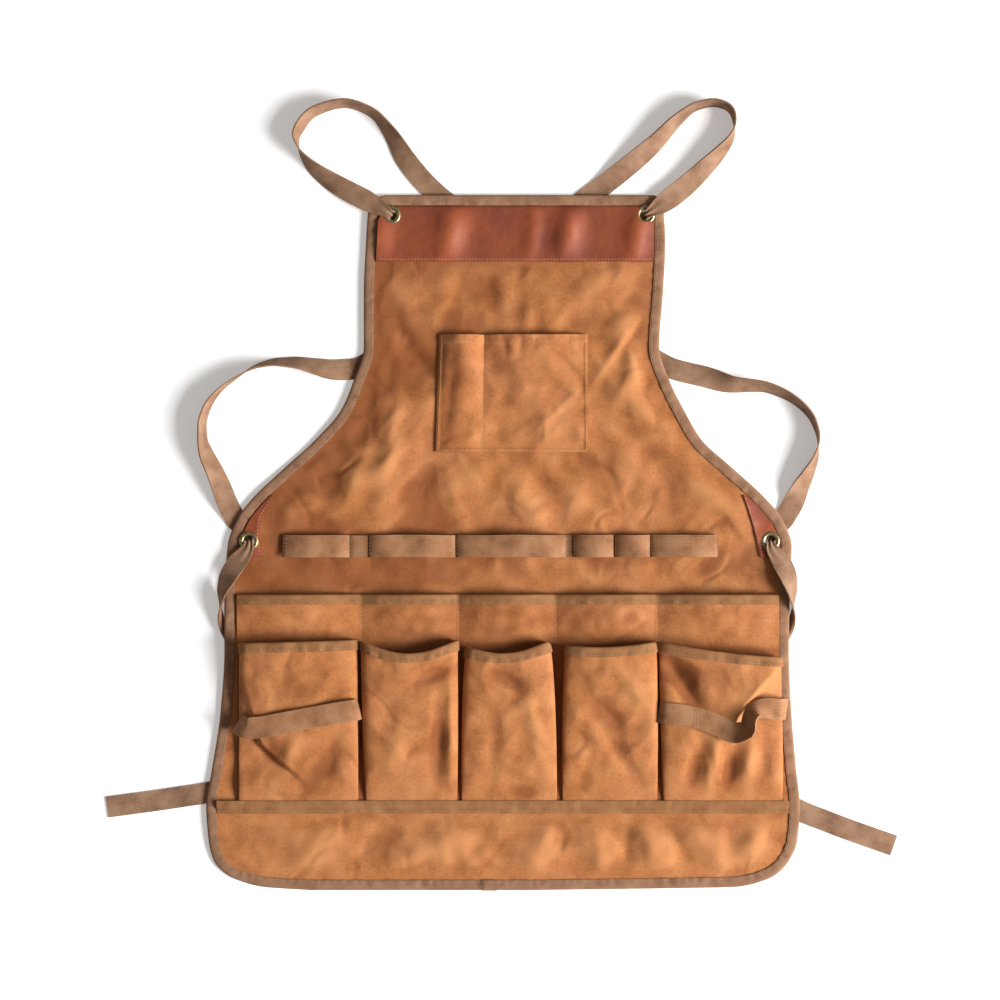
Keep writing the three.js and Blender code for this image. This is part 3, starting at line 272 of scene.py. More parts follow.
class Bench:
    """Modelling steps that the sub-assemblies share."""

    EDGE_ANGLE = math.radians(50)

    @staticmethod
    def clear() -> None:
        """Deselect everything."""
        bpy.ops.object.select_all(action="DESELECT")

    @staticmethod
    def only(obj: Piece) -> None:
        """Select one object and make it the active one.

        Args:
            obj: The object.
        """
        Bench.clear()
        obj.select_set(True)
        bpy.context.view_layer.objects.active = obj

    @staticmethod
    def named(name: str) -> Piece:
        """Name the object just added, and its mesh.

        Args:
            name: The name.

        Returns:
            The object.
        """
        obj = bpy.context.object
        obj.name = obj.data.name = name
        return obj

    @staticmethod
    def apply(obj: Piece, kind: str, **settings: Any) -> None:
        """Add a modifier and apply it.

        Args:
            obj: The object.
            kind: The modifier's type.
            **settings: Its settings.
        """
        Bench.only(obj)
        modifier = obj.modifiers.new(kind.title(), kind)
        for key, value in settings.items():
            setattr(modifier, key, value)
        bpy.ops.object.modifier_apply(modifier=modifier.name)

    @staticmethod
    def sheet(places: Array, cloth: Array, relief: Array) -> Piece:
        """Add a grid and move its points to the places of a sheet.

        Args:
            places: Rows and columns of points in millimetres.
            cloth: The same points on the flat cloth, in millimetres.
            relief: How far each point stands above its surroundings, with any painted shade that the piece adds; it
                makes the point paler, or deeper below 0.

        Returns:
            The new object.
        """
        rows, columns = places.shape[:2]
        Bench.clear()
        bpy.ops.mesh.primitive_grid_add(x_subdivisions=columns - 1, y_subdivisions=rows - 1, size=2)
        obj = bpy.context.object
        mesh = obj.data
        start = np.empty(len(mesh.vertices) * 3)
        mesh.vertices.foreach_get("co", start)
        start = start.reshape(-1, 3)
        column = np.rint((start[:, 0] + 1) / 2 * (columns - 1)).astype(int)
        row = np.rint((start[:, 1] + 1) / 2 * (rows - 1)).astype(int)
        mesh.vertices.foreach_set("co", (places[row, column] * MM).ravel())
        corners = np.empty(len(mesh.loops), dtype=np.int32)
        mesh.loops.foreach_get("vertex_index", corners)
        flat = cloth[row, column] * MM
        mesh.uv_layers.active.data.foreach_set("uv", flat[corners].ravel())
        mesh.attributes.new("relief", "FLOAT", "POINT").data.foreach_set("value", relief[row, column])
        mesh.update()
        return obj

    @staticmethod
    def thicken(obj: Piece, gauge: float, growth: Growth) -> None:
        """Give a sheet its gauge and smooth it.

        Args:
            obj: The sheet.
            gauge: Its thickness in millimetres.
            growth: Which way it grows.
        """
        Bench.apply(obj, "SOLIDIFY", thickness=gauge * MM, offset=growth.value, use_rim=True)
        Bench.only(obj)
        bpy.ops.object.shade_smooth_by_angle(angle=Bench.EDGE_ANGLE)

    @staticmethod
    def pierce(obj: Piece, holes: Sequence[tuple[float, float]], radius: float) -> None:
        """Delete the faces of a sheet round each hole's middle.

        Args:
            obj: The sheet, before it has a gauge.
            holes: Middles of the holes in millimetres.
            radius: How far from a middle a face's own middle goes.
        """
        Bench.only(obj)
        bpy.ops.object.mode_set(mode="EDIT")
        bpy.ops.mesh.select_mode(type="FACE")
        bpy.ops.mesh.select_all(action="DESELECT")
        bpy.ops.object.mode_set(mode="OBJECT")
        found = 0
        for face in obj.data.polygons:
            near = any(math.hypot(face.center.x - x * MM, face.center.y - y * MM) < radius * MM for x, y in holes)
            face.select = near
            found += near
        bpy.ops.object.mode_set(mode="EDIT")
        if found:
            bpy.ops.mesh.delete(type="FACE")
        bpy.ops.object.mode_set(mode="OBJECT")

    @staticmethod
    def join(pieces: Sequence[Piece], name: str) -> Piece:
        """Join objects into the first one.

        Args:
            pieces: The objects.
            name: Name of the result.

        Returns:
            The joined object, at the origin.
        """
        Bench.only(pieces[0])
        for piece in pieces:
            piece.select_set(True)
        bpy.ops.object.join()
        bpy.ops.object.transform_apply(location=True, rotation=True, scale=True)
        return Bench.named(name)


class Value:
    """One output of a shader node, on which arithmetic adds Math nodes."""

    def __init__(self, shader: "Shader", socket: bpy.types.NodeSocket) -> None:
        """Keep the shader and the socket."""
        self.shader = shader
        self.socket = socket

    def _math(self, operation: str, a: Any, b: Any = 0.0) -> "Value":
        """Add one Math node."""
        return self.shader.node("ShaderNodeMath", {"operation": operation}, {0: a, 1: b})

    def __add__(self, other: Any) -> "Value":
        """Sum."""
        return self._math("ADD", self, other)

    __radd__ = __add__

    def __sub__(self, other: Any) -> "Value":
        """Difference."""
        return self._math("SUBTRACT", self, other)

    def __rsub__(self, other: Any) -> "Value":
        """Difference with a number first."""
        return self._math("SUBTRACT", other, self)

    def __mul__(self, other: Any) -> "Value":
        """Product."""
        return self._math("MULTIPLY", self, other)

    __rmul__ = __mul__

    def __pow__(self, other: Any) -> "Value":
        """Power."""
        return self._math("POWER", self, other)

    def __rpow__(self, other: Any) -> "Value":
        """Power of a number."""
        return self._math("POWER", other, self)

    def __abs__(self) -> "Value":
        """Size without the sign."""
        return self._math("ABSOLUTE", self)

    def wave(self, pitch: float) -> "Value":
        """Sine wave from -1 to 1 along a length, with a pitch in millimetres."""
        return self._math("SINE", self * (2 * math.pi / (pitch * MM)))

    def eased(self, low: float, high: float) -> "Value":
        """Ease from 0 at low to 1 at high."""
        return self.shader.node("ShaderNodeMapRange", {"interpolation_type": "SMOOTHSTEP"},
                                {"Value": self, "From Min": low, "From Max": high})


class Shader:
    """Node graph of one material with one Principled shader."""

    def __init__(self, name: str) -> None:
        """Start a material with an empty graph.

        Args:
            name: Name of the material.
        """
        self.material = bpy.data.materials.new(name)
        self.material.use_nodes = True
        self.tree = self.material.node_tree
        self.tree.nodes.clear()

    def node(self, kind: str, settings: dict[str, Any], sockets: dict[Any, Any], output: Any = 0) -> Value:
        """Add a node.

        Args:
            kind: Type of the node.
            settings: Properties that are set first.
            sockets: Values or links by socket index, identifier or name.
            output: Index or identifier of the output that is wanted.

        Returns:
            That output.
        """
        node = self.tree.nodes.new(kind)
        for key, setting in settings.items():
            setattr(node, key, setting)
        for key, value in sockets.items():
            socket = self._find(node.inputs, key)
            if isinstance(value, Value):
                self.tree.links.new(value.socket, socket)
            else:
                socket.default_value = value
        return Value(self, self._find(node.outputs, output))

    @staticmethod
    def _find(sockets: Any, key: Any) -> bpy.types.NodeSocket:
        """Find a socket by index, identifier or name."""
        found = [] if isinstance(key, int) else [socket for socket in sockets if socket.identifier == key]
        return found[0] if found else sockets[key]

    def cloth(self) -> Value:
        """Place on the flat cloth, in metres."""
        return self.node("ShaderNodeUVMap", {"uv_map": "UVMap"}, {})

    def place(self) -> Value:
        """Place in the object's own coordinates, in metres."""
        return self.node("ShaderNodeTexCoord", {}, {}, "Object")

    def relief(self) -> Value:
        """How far the cloth stands above its surroundings in millimetres, with the piece's painted shade below 0."""
        return self.node("ShaderNodeAttribute", {"attribute_name": "relief"}, {}, "Fac")

    def axis(self, vector: Value, output: str) -> Value:
        """One part of a vector."""
        return self.node("ShaderNodeSeparateXYZ", {}, {"Vector": vector}, output)

    def noise(self, vector: Value, size: float, detail: float = 3.0, distortion: float = 0.0) -> Value:
        """Soft noise from about 0.2 to 0.8, with blotches of a size in millimetres."""
        return self.node("ShaderNodeTexNoise", {}, {"Vector": vector, "Scale": 1.0 / (size * MM),
                                                    "Detail": detail, "Distortion": distortion})

    def tinted(self, colour: Any, layers: Sequence[tuple[Value, Colour]]) -> Any:
        """Mix tints over a colour, one after the other.

        Args:
            colour: The colour to start from.
            layers: The share of each tint, and the tint.

        Returns:
            The mixed colour.
        """
        settings = {"data_type": "RGBA", "clamp_factor": True}
        for share, tint in layers:
            sockets = {"Factor_Float": share, "A_Color": colour, "B_Color": tint}
            colour = self.node("ShaderNodeMix", settings, sockets, "Result_Color")
        return colour

    def bump(self, height: Value, depth: float, normal: Value | None = None, strength: float = 1.0) -> Value:
        """Turn a height into a normal.

        Args:
            height: Height from 0 to 1.
            depth: Depth of the height's range, in millimetres.
            normal: A normal to start from.
            strength: Strength of the bump.

        Returns:
            The normal.
        """
        sockets: dict[Any, Any] = {"Height": height, "Distance": depth * MM, "Strength": strength}
        if normal is not None:
            sockets["Normal"] = normal
        return self.node("ShaderNodeBump", {}, sockets)

    def finish(self, **sockets: Any) -> Material:
        """Join values to the Principled shader and the output.

        Args:
            **sockets: Values by the socket's name, with _ for a space.

        Returns:
            The material.
        """
        named = {key.replace("_", " "): value for key, value in sockets.items()}
        surface = self.node("ShaderNodeBsdfPrincipled", {}, named)
        output = self.tree.nodes.new("ShaderNodeOutputMaterial")
        self.tree.links.new(surface.socket, output.inputs["Surface"])
        return self.material


def linear(level: float) -> float:
    """Linear light of a level as it is seen on screen, 0 to 255."""
    share = level / 255.0
    return share / 12.92 if share <= 0.04045 else ((share + 0.055) / 1.055) ** 2.4


def shade(red: float, green: float, blue: float) -> Colour:
    """Turn a colour as it is seen on screen, 0 to 255, into a shader colour."""
    return (linear(red), linear(green), linear(blue), 1.0)


@dataclass(frozen=True)
class WaxedCanvas:
    """Tan waxed canvas, rubbed pale on its ridges, with painted shade in its hollows."""

    name: str = "waxed_canvas"
    pale: Colour = shade(212, 150, 98)
    middle: Colour = shade(181, 116, 66)
    deep: Colour = shade(118, 60, 28)
    rosy: Colour = shade(187, 121, 75)
    pitch: float = 0.95

    def make(self) -> Material:
        """Build the material.

        Returns:
            The material.
        """
        s = Shader(self.name)
        cloth = s.cloth()
        relief = s.relief()
        broad = s.noise(cloth, 90, 3)
        blotch = s.noise(cloth, 24, 6)
        fleck = s.noise(cloth, 2.6, 4)
        wrinkle = abs(s.noise(cloth, 58, 1, 0.2) - 0.5).eased(0.085, 0.0) * s.noise(cloth, 75, 1).eased(0.4, 0.62)
        thread = 2 * self.pitch
        weave = s.axis(cloth, "X").wave(thread) * s.axis(cloth, "Y").wave(thread) * 0.5 + 0.5
        colour = s.tinted(self.middle, (
            (broad.eased(0.35, 0.68), self.rosy),
            (blotch.eased(0.48, 0.76) * 0.45, self.pale),
            (blotch.eased(0.52, 0.26) * 0.4, self.deep),
            (fleck.eased(0.5, 0.74) * 0.3, self.pale),
            (fleck.eased(0.48, 0.26) * 0.3, self.deep),
            # Painted shade where the relief falls below 0: hollows, slits between pockets and shade that the pieces
            # add; paler on rubbed ridges
            (relief.eased(-0.2, -3.2) * 0.6, self.deep),
            (relief.eased(0.4, 3.0) * 0.4, self.pale),
            (wrinkle * 0.14, self.deep),
            (weave * 0.22, self.deep),
        ))
        normal = s.bump(0.5 - abs(s.noise(cloth, 52, 1) - 0.5), 9.0, strength=0.3)
        normal = s.bump(1.0 - wrinkle, 1.9, normal, 0.45)
        normal = s.bump(s.noise(cloth, 10, 3), 1.3, normal, 0.35)
        normal = s.bump(weave, 0.22, normal, 0.6)
        rough = 0.92 - blotch.eased(0.45, 0.75) * 0.14
        return s.finish(Base_Color=colour, Roughness=rough, Normal=normal, Specular_IOR_Level=0.25)


@dataclass(frozen=True)
class WovenTape:
    """Taupe binding tape with a fine twill, and painted shade in the pinches where it is gathered."""

    name: str
    pale: Colour
    middle: Colour
    deep: Colour
    pitch: float = 1.1

    def make(self) -> Material:
        """Build the material.

        Returns:
            The material.
        """
        s = Shader(self.name)
        cloth = s.cloth()
        blotch = s.noise(cloth, 18, 4)
        fleck = s.noise(cloth, 1.6, 3)
        twill = (s.axis(cloth, "X") + s.axis(cloth, "Y")).wave(self.pitch) * 0.5 + 0.5
        colour = s.tinted(self.middle, (
            (blotch.eased(0.42, 0.68) * 0.8, self.pale),
            (blotch.eased(0.46, 0.26) * 0.3, self.deep),
            (fleck.eased(0.5, 0.7) * 0.4, self.pale),
            (twill * 0.22, self.deep),
            # Painted shade in the pinches' dents
            (s.relief().eased(0.0, -0.5) * 0.3, self.deep),
        ))
        normal = s.bump(twill, 0.25, strength=0.6)
        normal = s.bump(fleck, 0.3, normal, 0.5)
        return s.finish(Base_Color=colour, Roughness=0.92 - blotch * 0.1, Normal=normal, Specular_IOR_Level=0.2)


@dataclass(frozen=True)
class RibbedWebbing:
    """Cotton webbing with ribs along its run and a fine cross weave."""

    name: str
    pale: Colour
    middle: Colour
    deep: Colour
    rib: float = 1.7
    pick: float = 1.3

    def make(self) -> Material:
        """Build the material.

        Returns:
            The material.
        """
        s = Shader(self.name)
        cloth = s.cloth()
        blotch = s.noise(cloth, 22, 4)
        fleck = s.noise(cloth, 1.8, 3)
        ribs = s.axis(cloth, "Y").wave(self.rib) * 0.5 + 0.5
        picks = s.axis(cloth, "X").wave(self.pick) * 0.5 + 0.5
        colour = s.tinted(self.middle, (
            (blotch.eased(0.4, 0.68) * 0.8, self.pale),
            (blotch.eased(0.46, 0.28) * 0.5, self.deep),
            ((1.0 - ribs) ** 2.0 * 0.24, self.deep),
            (fleck.eased(0.5, 0.7) * 0.35, self.pale),
            # Painted shade where a piece sets its relief below 0, in folds, pleats and tacks
            (s.relief().eased(-0.1, -1.0) * 0.7, self.deep),
        ))
        normal = s.bump(ribs, 0.25, strength=0.6)
        normal = s.bump(picks * ribs, 0.2, normal, 0.5)
        return s.finish(Base_Color=colour, Roughness=0.9 - fleck * 0.08, Normal=normal, Specular_IOR_Level=0.2)


@dataclass(frozen=True)
class WaxedLeather:
    """Red-brown waxed leather with a fine grain, and painted shade in its dents."""

    name: str = "waxed_leather"
    pale: Colour = shade(182, 98, 58)
    middle: Colour = shade(138, 63, 34)
    deep: Colour = shade(76, 32, 18)

    def make(self) -> Material:
        """Build the material.

        Returns:
            The material.
        """
        s = Shader(self.name)
        place = s.place()
        broad = s.noise(place, 40, 5)
        grain = s.node("ShaderNodeTexVoronoi", {"feature": "F1"}, {"Vector": place, "Scale": 1.0 / (1.5 * MM)})
        pores = s.noise(place, 0.9, 3)
        relief = s.relief()
        colour = s.tinted(self.middle, (
            (broad.eased(0.42, 0.7) * 0.4, self.pale),
            (broad.eased(0.5, 0.28) * 0.35, self.deep),
            # Painted shade where the relief is low, between swells and in dents; paler on the swells
            (relief.eased(0.1, -1.2) * 0.28, self.deep),
            (relief.eased(0.6, 3.0) * 0.3, self.pale),
            (pores.eased(0.5, 0.3) * 0.35, self.deep),
        ))
        normal = s.bump(grain, 0.12, strength=0.5)
        normal = s.bump(s.noise(place, 6, 3), 0.6, normal, 0.35)
        rough = 0.42 + broad.eased(0.65, 0.35) * 0.2 + pores * 0.08
        return s.finish(Base_Color=colour, Roughness=rough, Normal=normal)


@dataclass(frozen=True)
class AgedBrass:
    """Greenish aged brass, brighter where it is rubbed."""

    name: str = "aged_brass"
    bright: Colour = shade(214, 198, 150)
    dull: Colour = shade(128, 118, 84)

    def make(self) -> Material:
        """Build the material.

        Returns:
            The material.
        """
        s = Shader(self.name)
        place = s.place()
        tarnish = s.noise(place, 3.0, 4, 0.5)
        colour = s.tinted(self.dull, [(tarnish.eased(0.35, 0.7), self.bright)])
        normal = s.bump(s.noise(place, 0.5, 2), 0.05, strength=0.4)
        rough = 0.46 - tarnish.eased(0.4, 0.7) * 0.2
        return s.finish(Base_Color=colour, Roughness=rough, Normal=normal, Metallic=1.0)


@dataclass(frozen=True)
class SewingThread:
    """Twisted sewing thread of one shade."""

    name: str
    tint: Colour
    dark: Colour

    def make(self) -> Material:
        """Build the material.

        Returns:
            The material.
        """
        s = Shader(self.name)
        twist = s.noise(s.place(), 1.2, 3)
        colour = s.tinted(self.tint, [(twist.eased(0.55, 0.3), self.dark)])
        normal = s.bump(twist, 0.12, strength=0.5)
        return s.finish(Base_Color=colour, Roughness=0.82 - twist * 0.12, Normal=normal)


@dataclass(frozen=True)
class PaleFloor:
    """Pale matte studio floor with hardly visible clouding."""

    name: str = "pale_floor"
    tint: Colour = (0.9, 0.9, 0.9, 1.0)
    cloud: Colour = (0.875, 0.875, 0.88, 1.0)

    def make(self) -> Material:
        """Build the material.

        Returns:
            The material.
        """
        s = Shader(self.name)
        colour = s.tinted(self.tint, [(s.noise(s.place(), 160, 3), self.cloud)])
        return s.finish(Base_Color=colour, Roughness=0.95, Emission_Color=(1.0, 1.0, 1.0, 1.0), Emission_Strength=0.3)


class Finishes:
    """The finishes of the apron, each made once."""

    def __init__(self) -> None:
        """Make every finish."""
        self.canvas = WaxedCanvas().make()
        self.edge_tape = WovenTape("edge_tape", shade(172, 132, 103), shade(151, 112, 86), shade(88, 58, 41)).make()
        self.pocket_tape = WovenTape("pocket_tape", shade(172, 124, 82), shade(154, 106, 67),
                                     shade(86, 53, 32)).make()
        self.strap = RibbedWebbing("strap_webbing", shade(172, 136, 110), shade(142, 107, 83),
                                   shade(80, 56, 41)).make()
        self.loop = RibbedWebbing("loop_webbing", shade(180, 134, 98), shade(154, 107, 73), shade(88, 56, 38)).make()
        self.leather = WaxedLeather().make()
        self.brass = AgedBrass().make()
        self.pale_thread = SewingThread("pale_thread", shade(208, 162, 120), shade(168, 118, 80)).make()
        self.brown_thread = SewingThread("brown_thread", shade(178, 141, 111), shade(120, 88, 68)).make()
        self.floor = PaleFloor().make()


# The pieces made so far, by the node that each stands for
MADE: dict[str, Piece] = {}


def enrol(obj: Piece, slot: Slot, material: Material, *nodes: str) -> None:
    """Dress a piece and put it in the frame.

    Args:
        obj: The piece.
        slot: Its material slot in the record.
        material: Its finish.
        *nodes: The CAD nodes that it stands for.
    """
    obj.data.materials.clear()
    obj.data.materials.append(material)
    for node in nodes:
        MADE[node] = obj
    if nodes:
        obj.name = f"{nodes[0]}_{slot.value}"
        obj.data.name = obj.name
    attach(obj, BODY)
    if nodes:
        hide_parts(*nodes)


def run_lengths(points: Array) -> Array:
    """Distance from the first of a row of points to each."""
    steps = np.linalg.norm(np.diff(points, axis=0), axis=1)
    return np.concatenate([[0.0], np.cumsum(steps)])


def resampled(points: Array, step: float) -> Array:
    """Spread points evenly along a path.

    Args:
        points: The path.
        step: Distance between two points.

    Returns:
        The evenly spread points.
    """
    run = run_lengths(points)
    places = np.linspace(0.0, run[-1], max(int(round(run[-1] / step)), 2) + 1)
    return np.stack([np.interp(places, run, points[:, k]) for k in range(points.shape[1])], axis=1)


def cloth_of(places: Array) -> Array:
    """Lay a sheet of points out flat, from the lengths of its middle row and column."""
    middles = (places[places.shape[0] // 2], places[:, places.shape[1] // 2])
    return np.stack(np.meshgrid(*(run_lengths(middle) for middle in middles)), axis=2)


def band_of(run: Array, across: Array) -> Array:
    """Lay a band of points out flat, from the distances along it and across it."""
    return np.stack(np.broadcast_arrays(run[:, None], across[None, :]), axis=2)


def unit(vectors: Array) -> Array:
    """Give each row a length of 1."""
    return vectors / np.linalg.norm(vectors, axis=1, keepdims=True)


def leftwards(headings: Array) -> Array:
    """Turn each heading on the plane a quarter to the left."""
    return np.stack([-headings[:, 1], headings[:, 0]], axis=1)


def evened(values: Array, reach: int) -> Array:
    """Average each value with its neighbours, as many to each side as the reach says."""
    width = 2 * reach + 1
    return np.convolve(np.pad(values, reach, mode="edge"), np.ones(width) / width, "valid")


@dataclass
class Lay:
    """The apron's panel as it lies: its cut edge, and the heights of its two sides."""

    edge: tuple[tuple[float, float, float], ...] = (
        (298.8, -116, 153), (295.5, -125, 158.5), (286, -131.3, 161.3), (250, -133.8, 162.8),
        (205, -135.8, 160.8), (148, -135.8, 156.8), (115, -145.8, 166.8), (85, -158.6, 181.6),
        (55, -184.5, 199.5), (25, -217.3, 232.3), (-5, -248.5, 264.4), (-26, -263.6, 281),
        (-50, -271.8, 289.2), (-95, -274.8, 287), (-150, -274.8, 286), (-215, -278.8, 288.8),
        (-275, -287.8, 293.8), (-310, -293.3, 297.3), (-345, -290.8, 294.8), (-364, -286, 287),
        (-378.5, -272.5, 273.5), (-385.5, -256, 257), (-390, -238, 236), (-393.3, -190, 30),
    )
    folds: tuple[Fold, ...] = (
        Fold(130, 128, 68, 32, 11, 4, 1.5), Fold(138, 86, -38, 34, 14, 3.5, 1.5),
        Fold(24, -2, -62, 38, 15, 4), Fold(74, -8, 75, 22, 15, 3),
        Fold(-112, 46, 80, 48, 14, 4.5, 1.6), Fold(-146, 18, 68, 46, 14, 4.5, 1.6),
        Fold(-196, -8, 30, 30, 15, 3), Fold(210, 0, -40, 34, 15, 3),
        Fold(-70, -352, 24, 46, 15, 3.5, 1.6), Fold(-180, -352, 32, 36, 15, 3),
        Fold(40, -350, 66, 28, 15, 4, 1.6), Fold(98, -352, 104, 26, 15, 4.5, 1.5),
        Fold(150, -352, -58, 30, 15, 4, 1.5), Fold(206, -352, -50, 32, 15, 4.5, 1.5),
        Fold(250, -346, 42, 28, 15, 4, 1.6),
        Fold(-92, 148, -53, 50, 11, -3.4), Fold(122, 156, 56, 52, 7, 4, 1.3),
        Fold(139, 168, 55, 30, 9, -2.6), Fold(131, 181, 40, 34, 10, 2.6), Fold(94, 208, 27, 42, 14, 2.6),
        Fold(27, 174, 86, 24, 8, 2.2), Fold(2, 198, 84, 18, 9, 1.6), Fold(132, 128, -75, 26, 7, 2.4, 1.5),
        Fold(-101, 205, 20, 32, 16, 2), Fold(-60, 196, 70, 26, 10, 1.6),
        Fold(-45, -5, -70, 30, 10, 2), Fold(118, 10, 80, 34, 12, 2.2),
        Fold(-20, -360, 50, 26, 9, 1.8), Fold(124, -356, 80, 24, 8, -1.8),
        Fold(178, -350, -56, 28, 8, -2), Fold(-130, -352, 40, 30, 9, -1.6),
        Fold(-72, 95, 86, 66, 28, 3.6), Fold(-122, 4, 70, 58, 30, 3), Fold(-30, 20, -66, 40, 22, 2.4),
    )
    rumples: tuple[Rumple, ...] = (
        Rumple(1.5, 36), Rumple(0.45, 16, 90), Rumple(2.6, 70, -35, 20, 0.3), Rumple(2.0, 34, 55, -25, 0.25),
    )
    rumples_rise: float = 0.3
    wrap_lifts: tuple[tuple[float, float, float, float], ...] = ((288, -128, 49, 4.4), (-277, -128, 49, 4.4))
    under_edge: float = TAPE + SEAM
    lowest: float = 0.1
    bib_lift: float = 2.6
    bib_span: Span = (15, 108)
    side_lift: float = 2.0
    side_across: Span = (112, 222)
    side_from: Span = (-388, -326)
    side_to: Span = (0, 45)
    fold_gain: float = 1.4
    folds_fade: Span = (12, 44)
    rumples_fade: Span = (8, 30)
    pockets_fade: Span = (0, 24)
    ends_fade: Span = (10, 34)
    yoke_span: Span = (215, 236)
    hem_corner: tuple[float, int] = (32, 14)
    top_corner: tuple[float, int] = (-14, 7)
    pocket_mouth: float = -99.5
    pocket_foot: float = -317.8
    columns: int = 190
    rows: int = 212

    def __post_init__(self) -> None:
        """Make the two edge curves."""
        self.left = Curve.through(self.edge, 1)
        self.right = Curve.through(self.edge, 2)
        self.top = self.edge[0][0]
        self.hem = self.edge[-1][0]

    def lift(self, x: Array, y: Array) -> Array:
        """Lift of the panel by the straps that run beneath it.

        Args:
            x: Places across.
            y: Places along.

        Returns:
            Heights in millimetres.
        """
        bib = self.bib_lift * smoothstep(y, *self.bib_span)
        side = smoothstep(np.abs(x), *self.side_across)
        side = side * smoothstep(y, *self.side_from) * (1 - smoothstep(y, *self.side_to))
        wrap = sum(height * np.exp(-((x - at_x) ** 2 + (y - at_y) ** 2) / reach ** 2)
                   for at_x, at_y, reach, height in self.wrap_lifts)
        return bib + self.side_lift * side + wrap

    def relief(self, x: Array, y: Array) -> Array:
        """Folds and small rumples of the panel, which die out where it is sewn flat.

        Args:
            x: Places across.
            y: Places along.

        Returns:
            Heights in millimetres.
        """
        to_side = np.minimum(x - self.left(y), self.right(y) - x)
        to_end = np.minimum(y - self.hem, self.top - y)
        to_pockets = np.maximum(y - self.pocket_mouth - BINDING_REACH, self.pocket_foot - y)
        open_cloth = smoothstep(to_pockets, *self.pockets_fade) * smoothstep(to_end, *self.ends_fade)
        folds = self.fold_gain * folded(self.folds, x, y) * smoothstep(to_side, *self.folds_fade)
        rumples = self.rumples_rise + folded(self.rumples, x, y)
        rumples = rumples * smoothstep(to_side, *self.rumples_fade) * (1 - smoothstep(y, *self.yoke_span))
        return (folds + rumples) * open_cloth

    def under(self, x: Array, y: Array) -> Array:
        """Underside of the panel."""
        return np.maximum(self.under_edge + self.lift(x, y) + self.relief(x, y), self.lowest)

    def over(self, x: Array, y: Array) -> Array:
        """Upper side of the panel."""
        return self.under(x, y) + CANVAS

    def heights(self) -> Array:
        """Rows of the panel from hem to top, closest at the rounded corners.

        Returns:
            The heights of the rows.
        """
        even = np.linspace(self.hem, self.top, self.rows)
        corners = [end + reach * (np.arange(1, count) / count) ** 2
                   for end, reach, count in ((self.hem, *self.hem_corner), (self.top, *self.top_corner))]
        return np.unique(np.concatenate([even, *corners]).round(2))

    def rim(self, step: float, start: float, lap: float) -> Array:
        """Path round the rim, counter-clockwise from a place on the hem and past it by a lap.

        Args:
            step: Distance between two points.
            start: Where on the hem the path starts.
            lap: How far the end runs past the start.

        Returns:
            Evenly spread points.
        """
        heights = self.heights()
        right = np.stack([self.right(heights), heights], axis=1)
        left = np.stack([self.left(heights), heights], axis=1)[::-1]
        begin = [[start, self.hem]]
        end = [[start, self.hem], [start + lap, self.hem]]
        return resampled(np.concatenate([begin, right, left, end]), step)


LAY = Lay()


@dataclass
class Eyelets:
    """Brass eyelets: two through the yoke, two through the corner patches."""

    bore: float = 5.6
    barrel: float = 0.6
    rim_middle: float = 7.5
    rim_thick: float = 2.1
    rim_flat: float = 0.75
    washer_flat: float = 0.4
    barrel_reach: float = 0.7
    hole: float = 7.6
    sides: int = 56
    rim_sides: int = 16
    edge_angle: float = 40.0
    places: dict[str, tuple[float, float]] = field(default_factory=lambda: {
        "grommet_bib_left": (-109.5, 280.0),
        "grommet_bib_right": (144.2, 280.0),
        "grommet_waist_left": (-251.5, -45.5),
        "grommet_waist_right": (269.0, -45.5),
    })

    def pierced(self, places: Array, relief: Array, gauge: float) -> Piece:
        """Cut a sheet with a hole for each eyelet that goes through it.

        Args:
            places: Rows and columns of points in millimetres.
            relief: How far each point stands above its surroundings, with any painted shade that the piece adds.
            gauge: Its thickness in millimetres.

        Returns:
            The sheet.
        """
        obj = Bench.sheet(places, places[:, :, :2], relief)
        Bench.pierce(obj, list(self.places.values()), self.hole)
        Bench.thicken(obj, gauge, Growth.OUTWARDS)
        return obj

    def rolled_rim(self, x: float, y: float, z: float, flat: float, upwards: bool) -> Piece:
        """Half of a flattened ring, as a rim is rolled.

        Args:
            x: Middle across.
            y: Middle along.
            z: Height of its flat side.
            flat: Share of the height that is kept.
            upwards: Whether its round side is up.

        Returns:
            The rim.
        """
        centre = Vector((x, y, z)) * MM
        Bench.clear()
        bpy.ops.mesh.primitive_torus_add(major_segments=self.sides, minor_segments=self.rim_sides,
                                         major_radius=self.rim_middle * MM, minor_radius=self.rim_thick * MM,
                                         location=centre)
        obj = Bench.named("rim")
        bpy.ops.object.mode_set(mode="EDIT")
        bpy.ops.mesh.select_all(action="SELECT")
        bpy.ops.transform.resize(value=(1, 1, flat), center_override=centre)
        bpy.ops.mesh.bisect(plane_co=centre, plane_no=(0, 0, 1), use_fill=True,
                            clear_inner=upwards, clear_outer=not upwards)
        bpy.ops.object.mode_set(mode="OBJECT")
        return obj

    def build(self, finishes: Finishes) -> list[Piece]:
        """Model every eyelet and dress it.

        Args:
            finishes: The finishes.

        Returns:
            The eyelets.
        """
        made = []
        for name, (x, y) in self.places.items():
            bottom = float(LAY.under(x, y)) - SEAM
            top = float(LAY.over(x, y)) + SEAM + LEATHER + SEAM
            rims = [self.rolled_rim(x, y, top, self.rim_flat, True),
                    self.rolled_rim(x, y, bottom, self.washer_flat, False)]
            length = top - bottom + 2 * self.barrel_reach
            Bench.clear()
            bpy.ops.mesh.primitive_cylinder_add(vertices=self.sides, radius=self.bore * MM, depth=length * MM,
                                                end_fill_type="NOTHING",
                                                location=(x * MM, y * MM, (top + bottom) / 2 * MM))
            wall = Bench.named("barrel")
            Bench.apply(wall, "SOLIDIFY", thickness=self.barrel * MM, offset=Growth.OUTWARDS.value)
            obj = Bench.join([*rims, wall], name)
            Bench.only(obj)
            bpy.ops.object.shade_smooth_by_angle(angle=math.radians(self.edge_angle))
            enrol(obj, Slot.BRASS, finishes.brass, name)
            made.append(obj)
        return made


EYELETS = Eyelets()


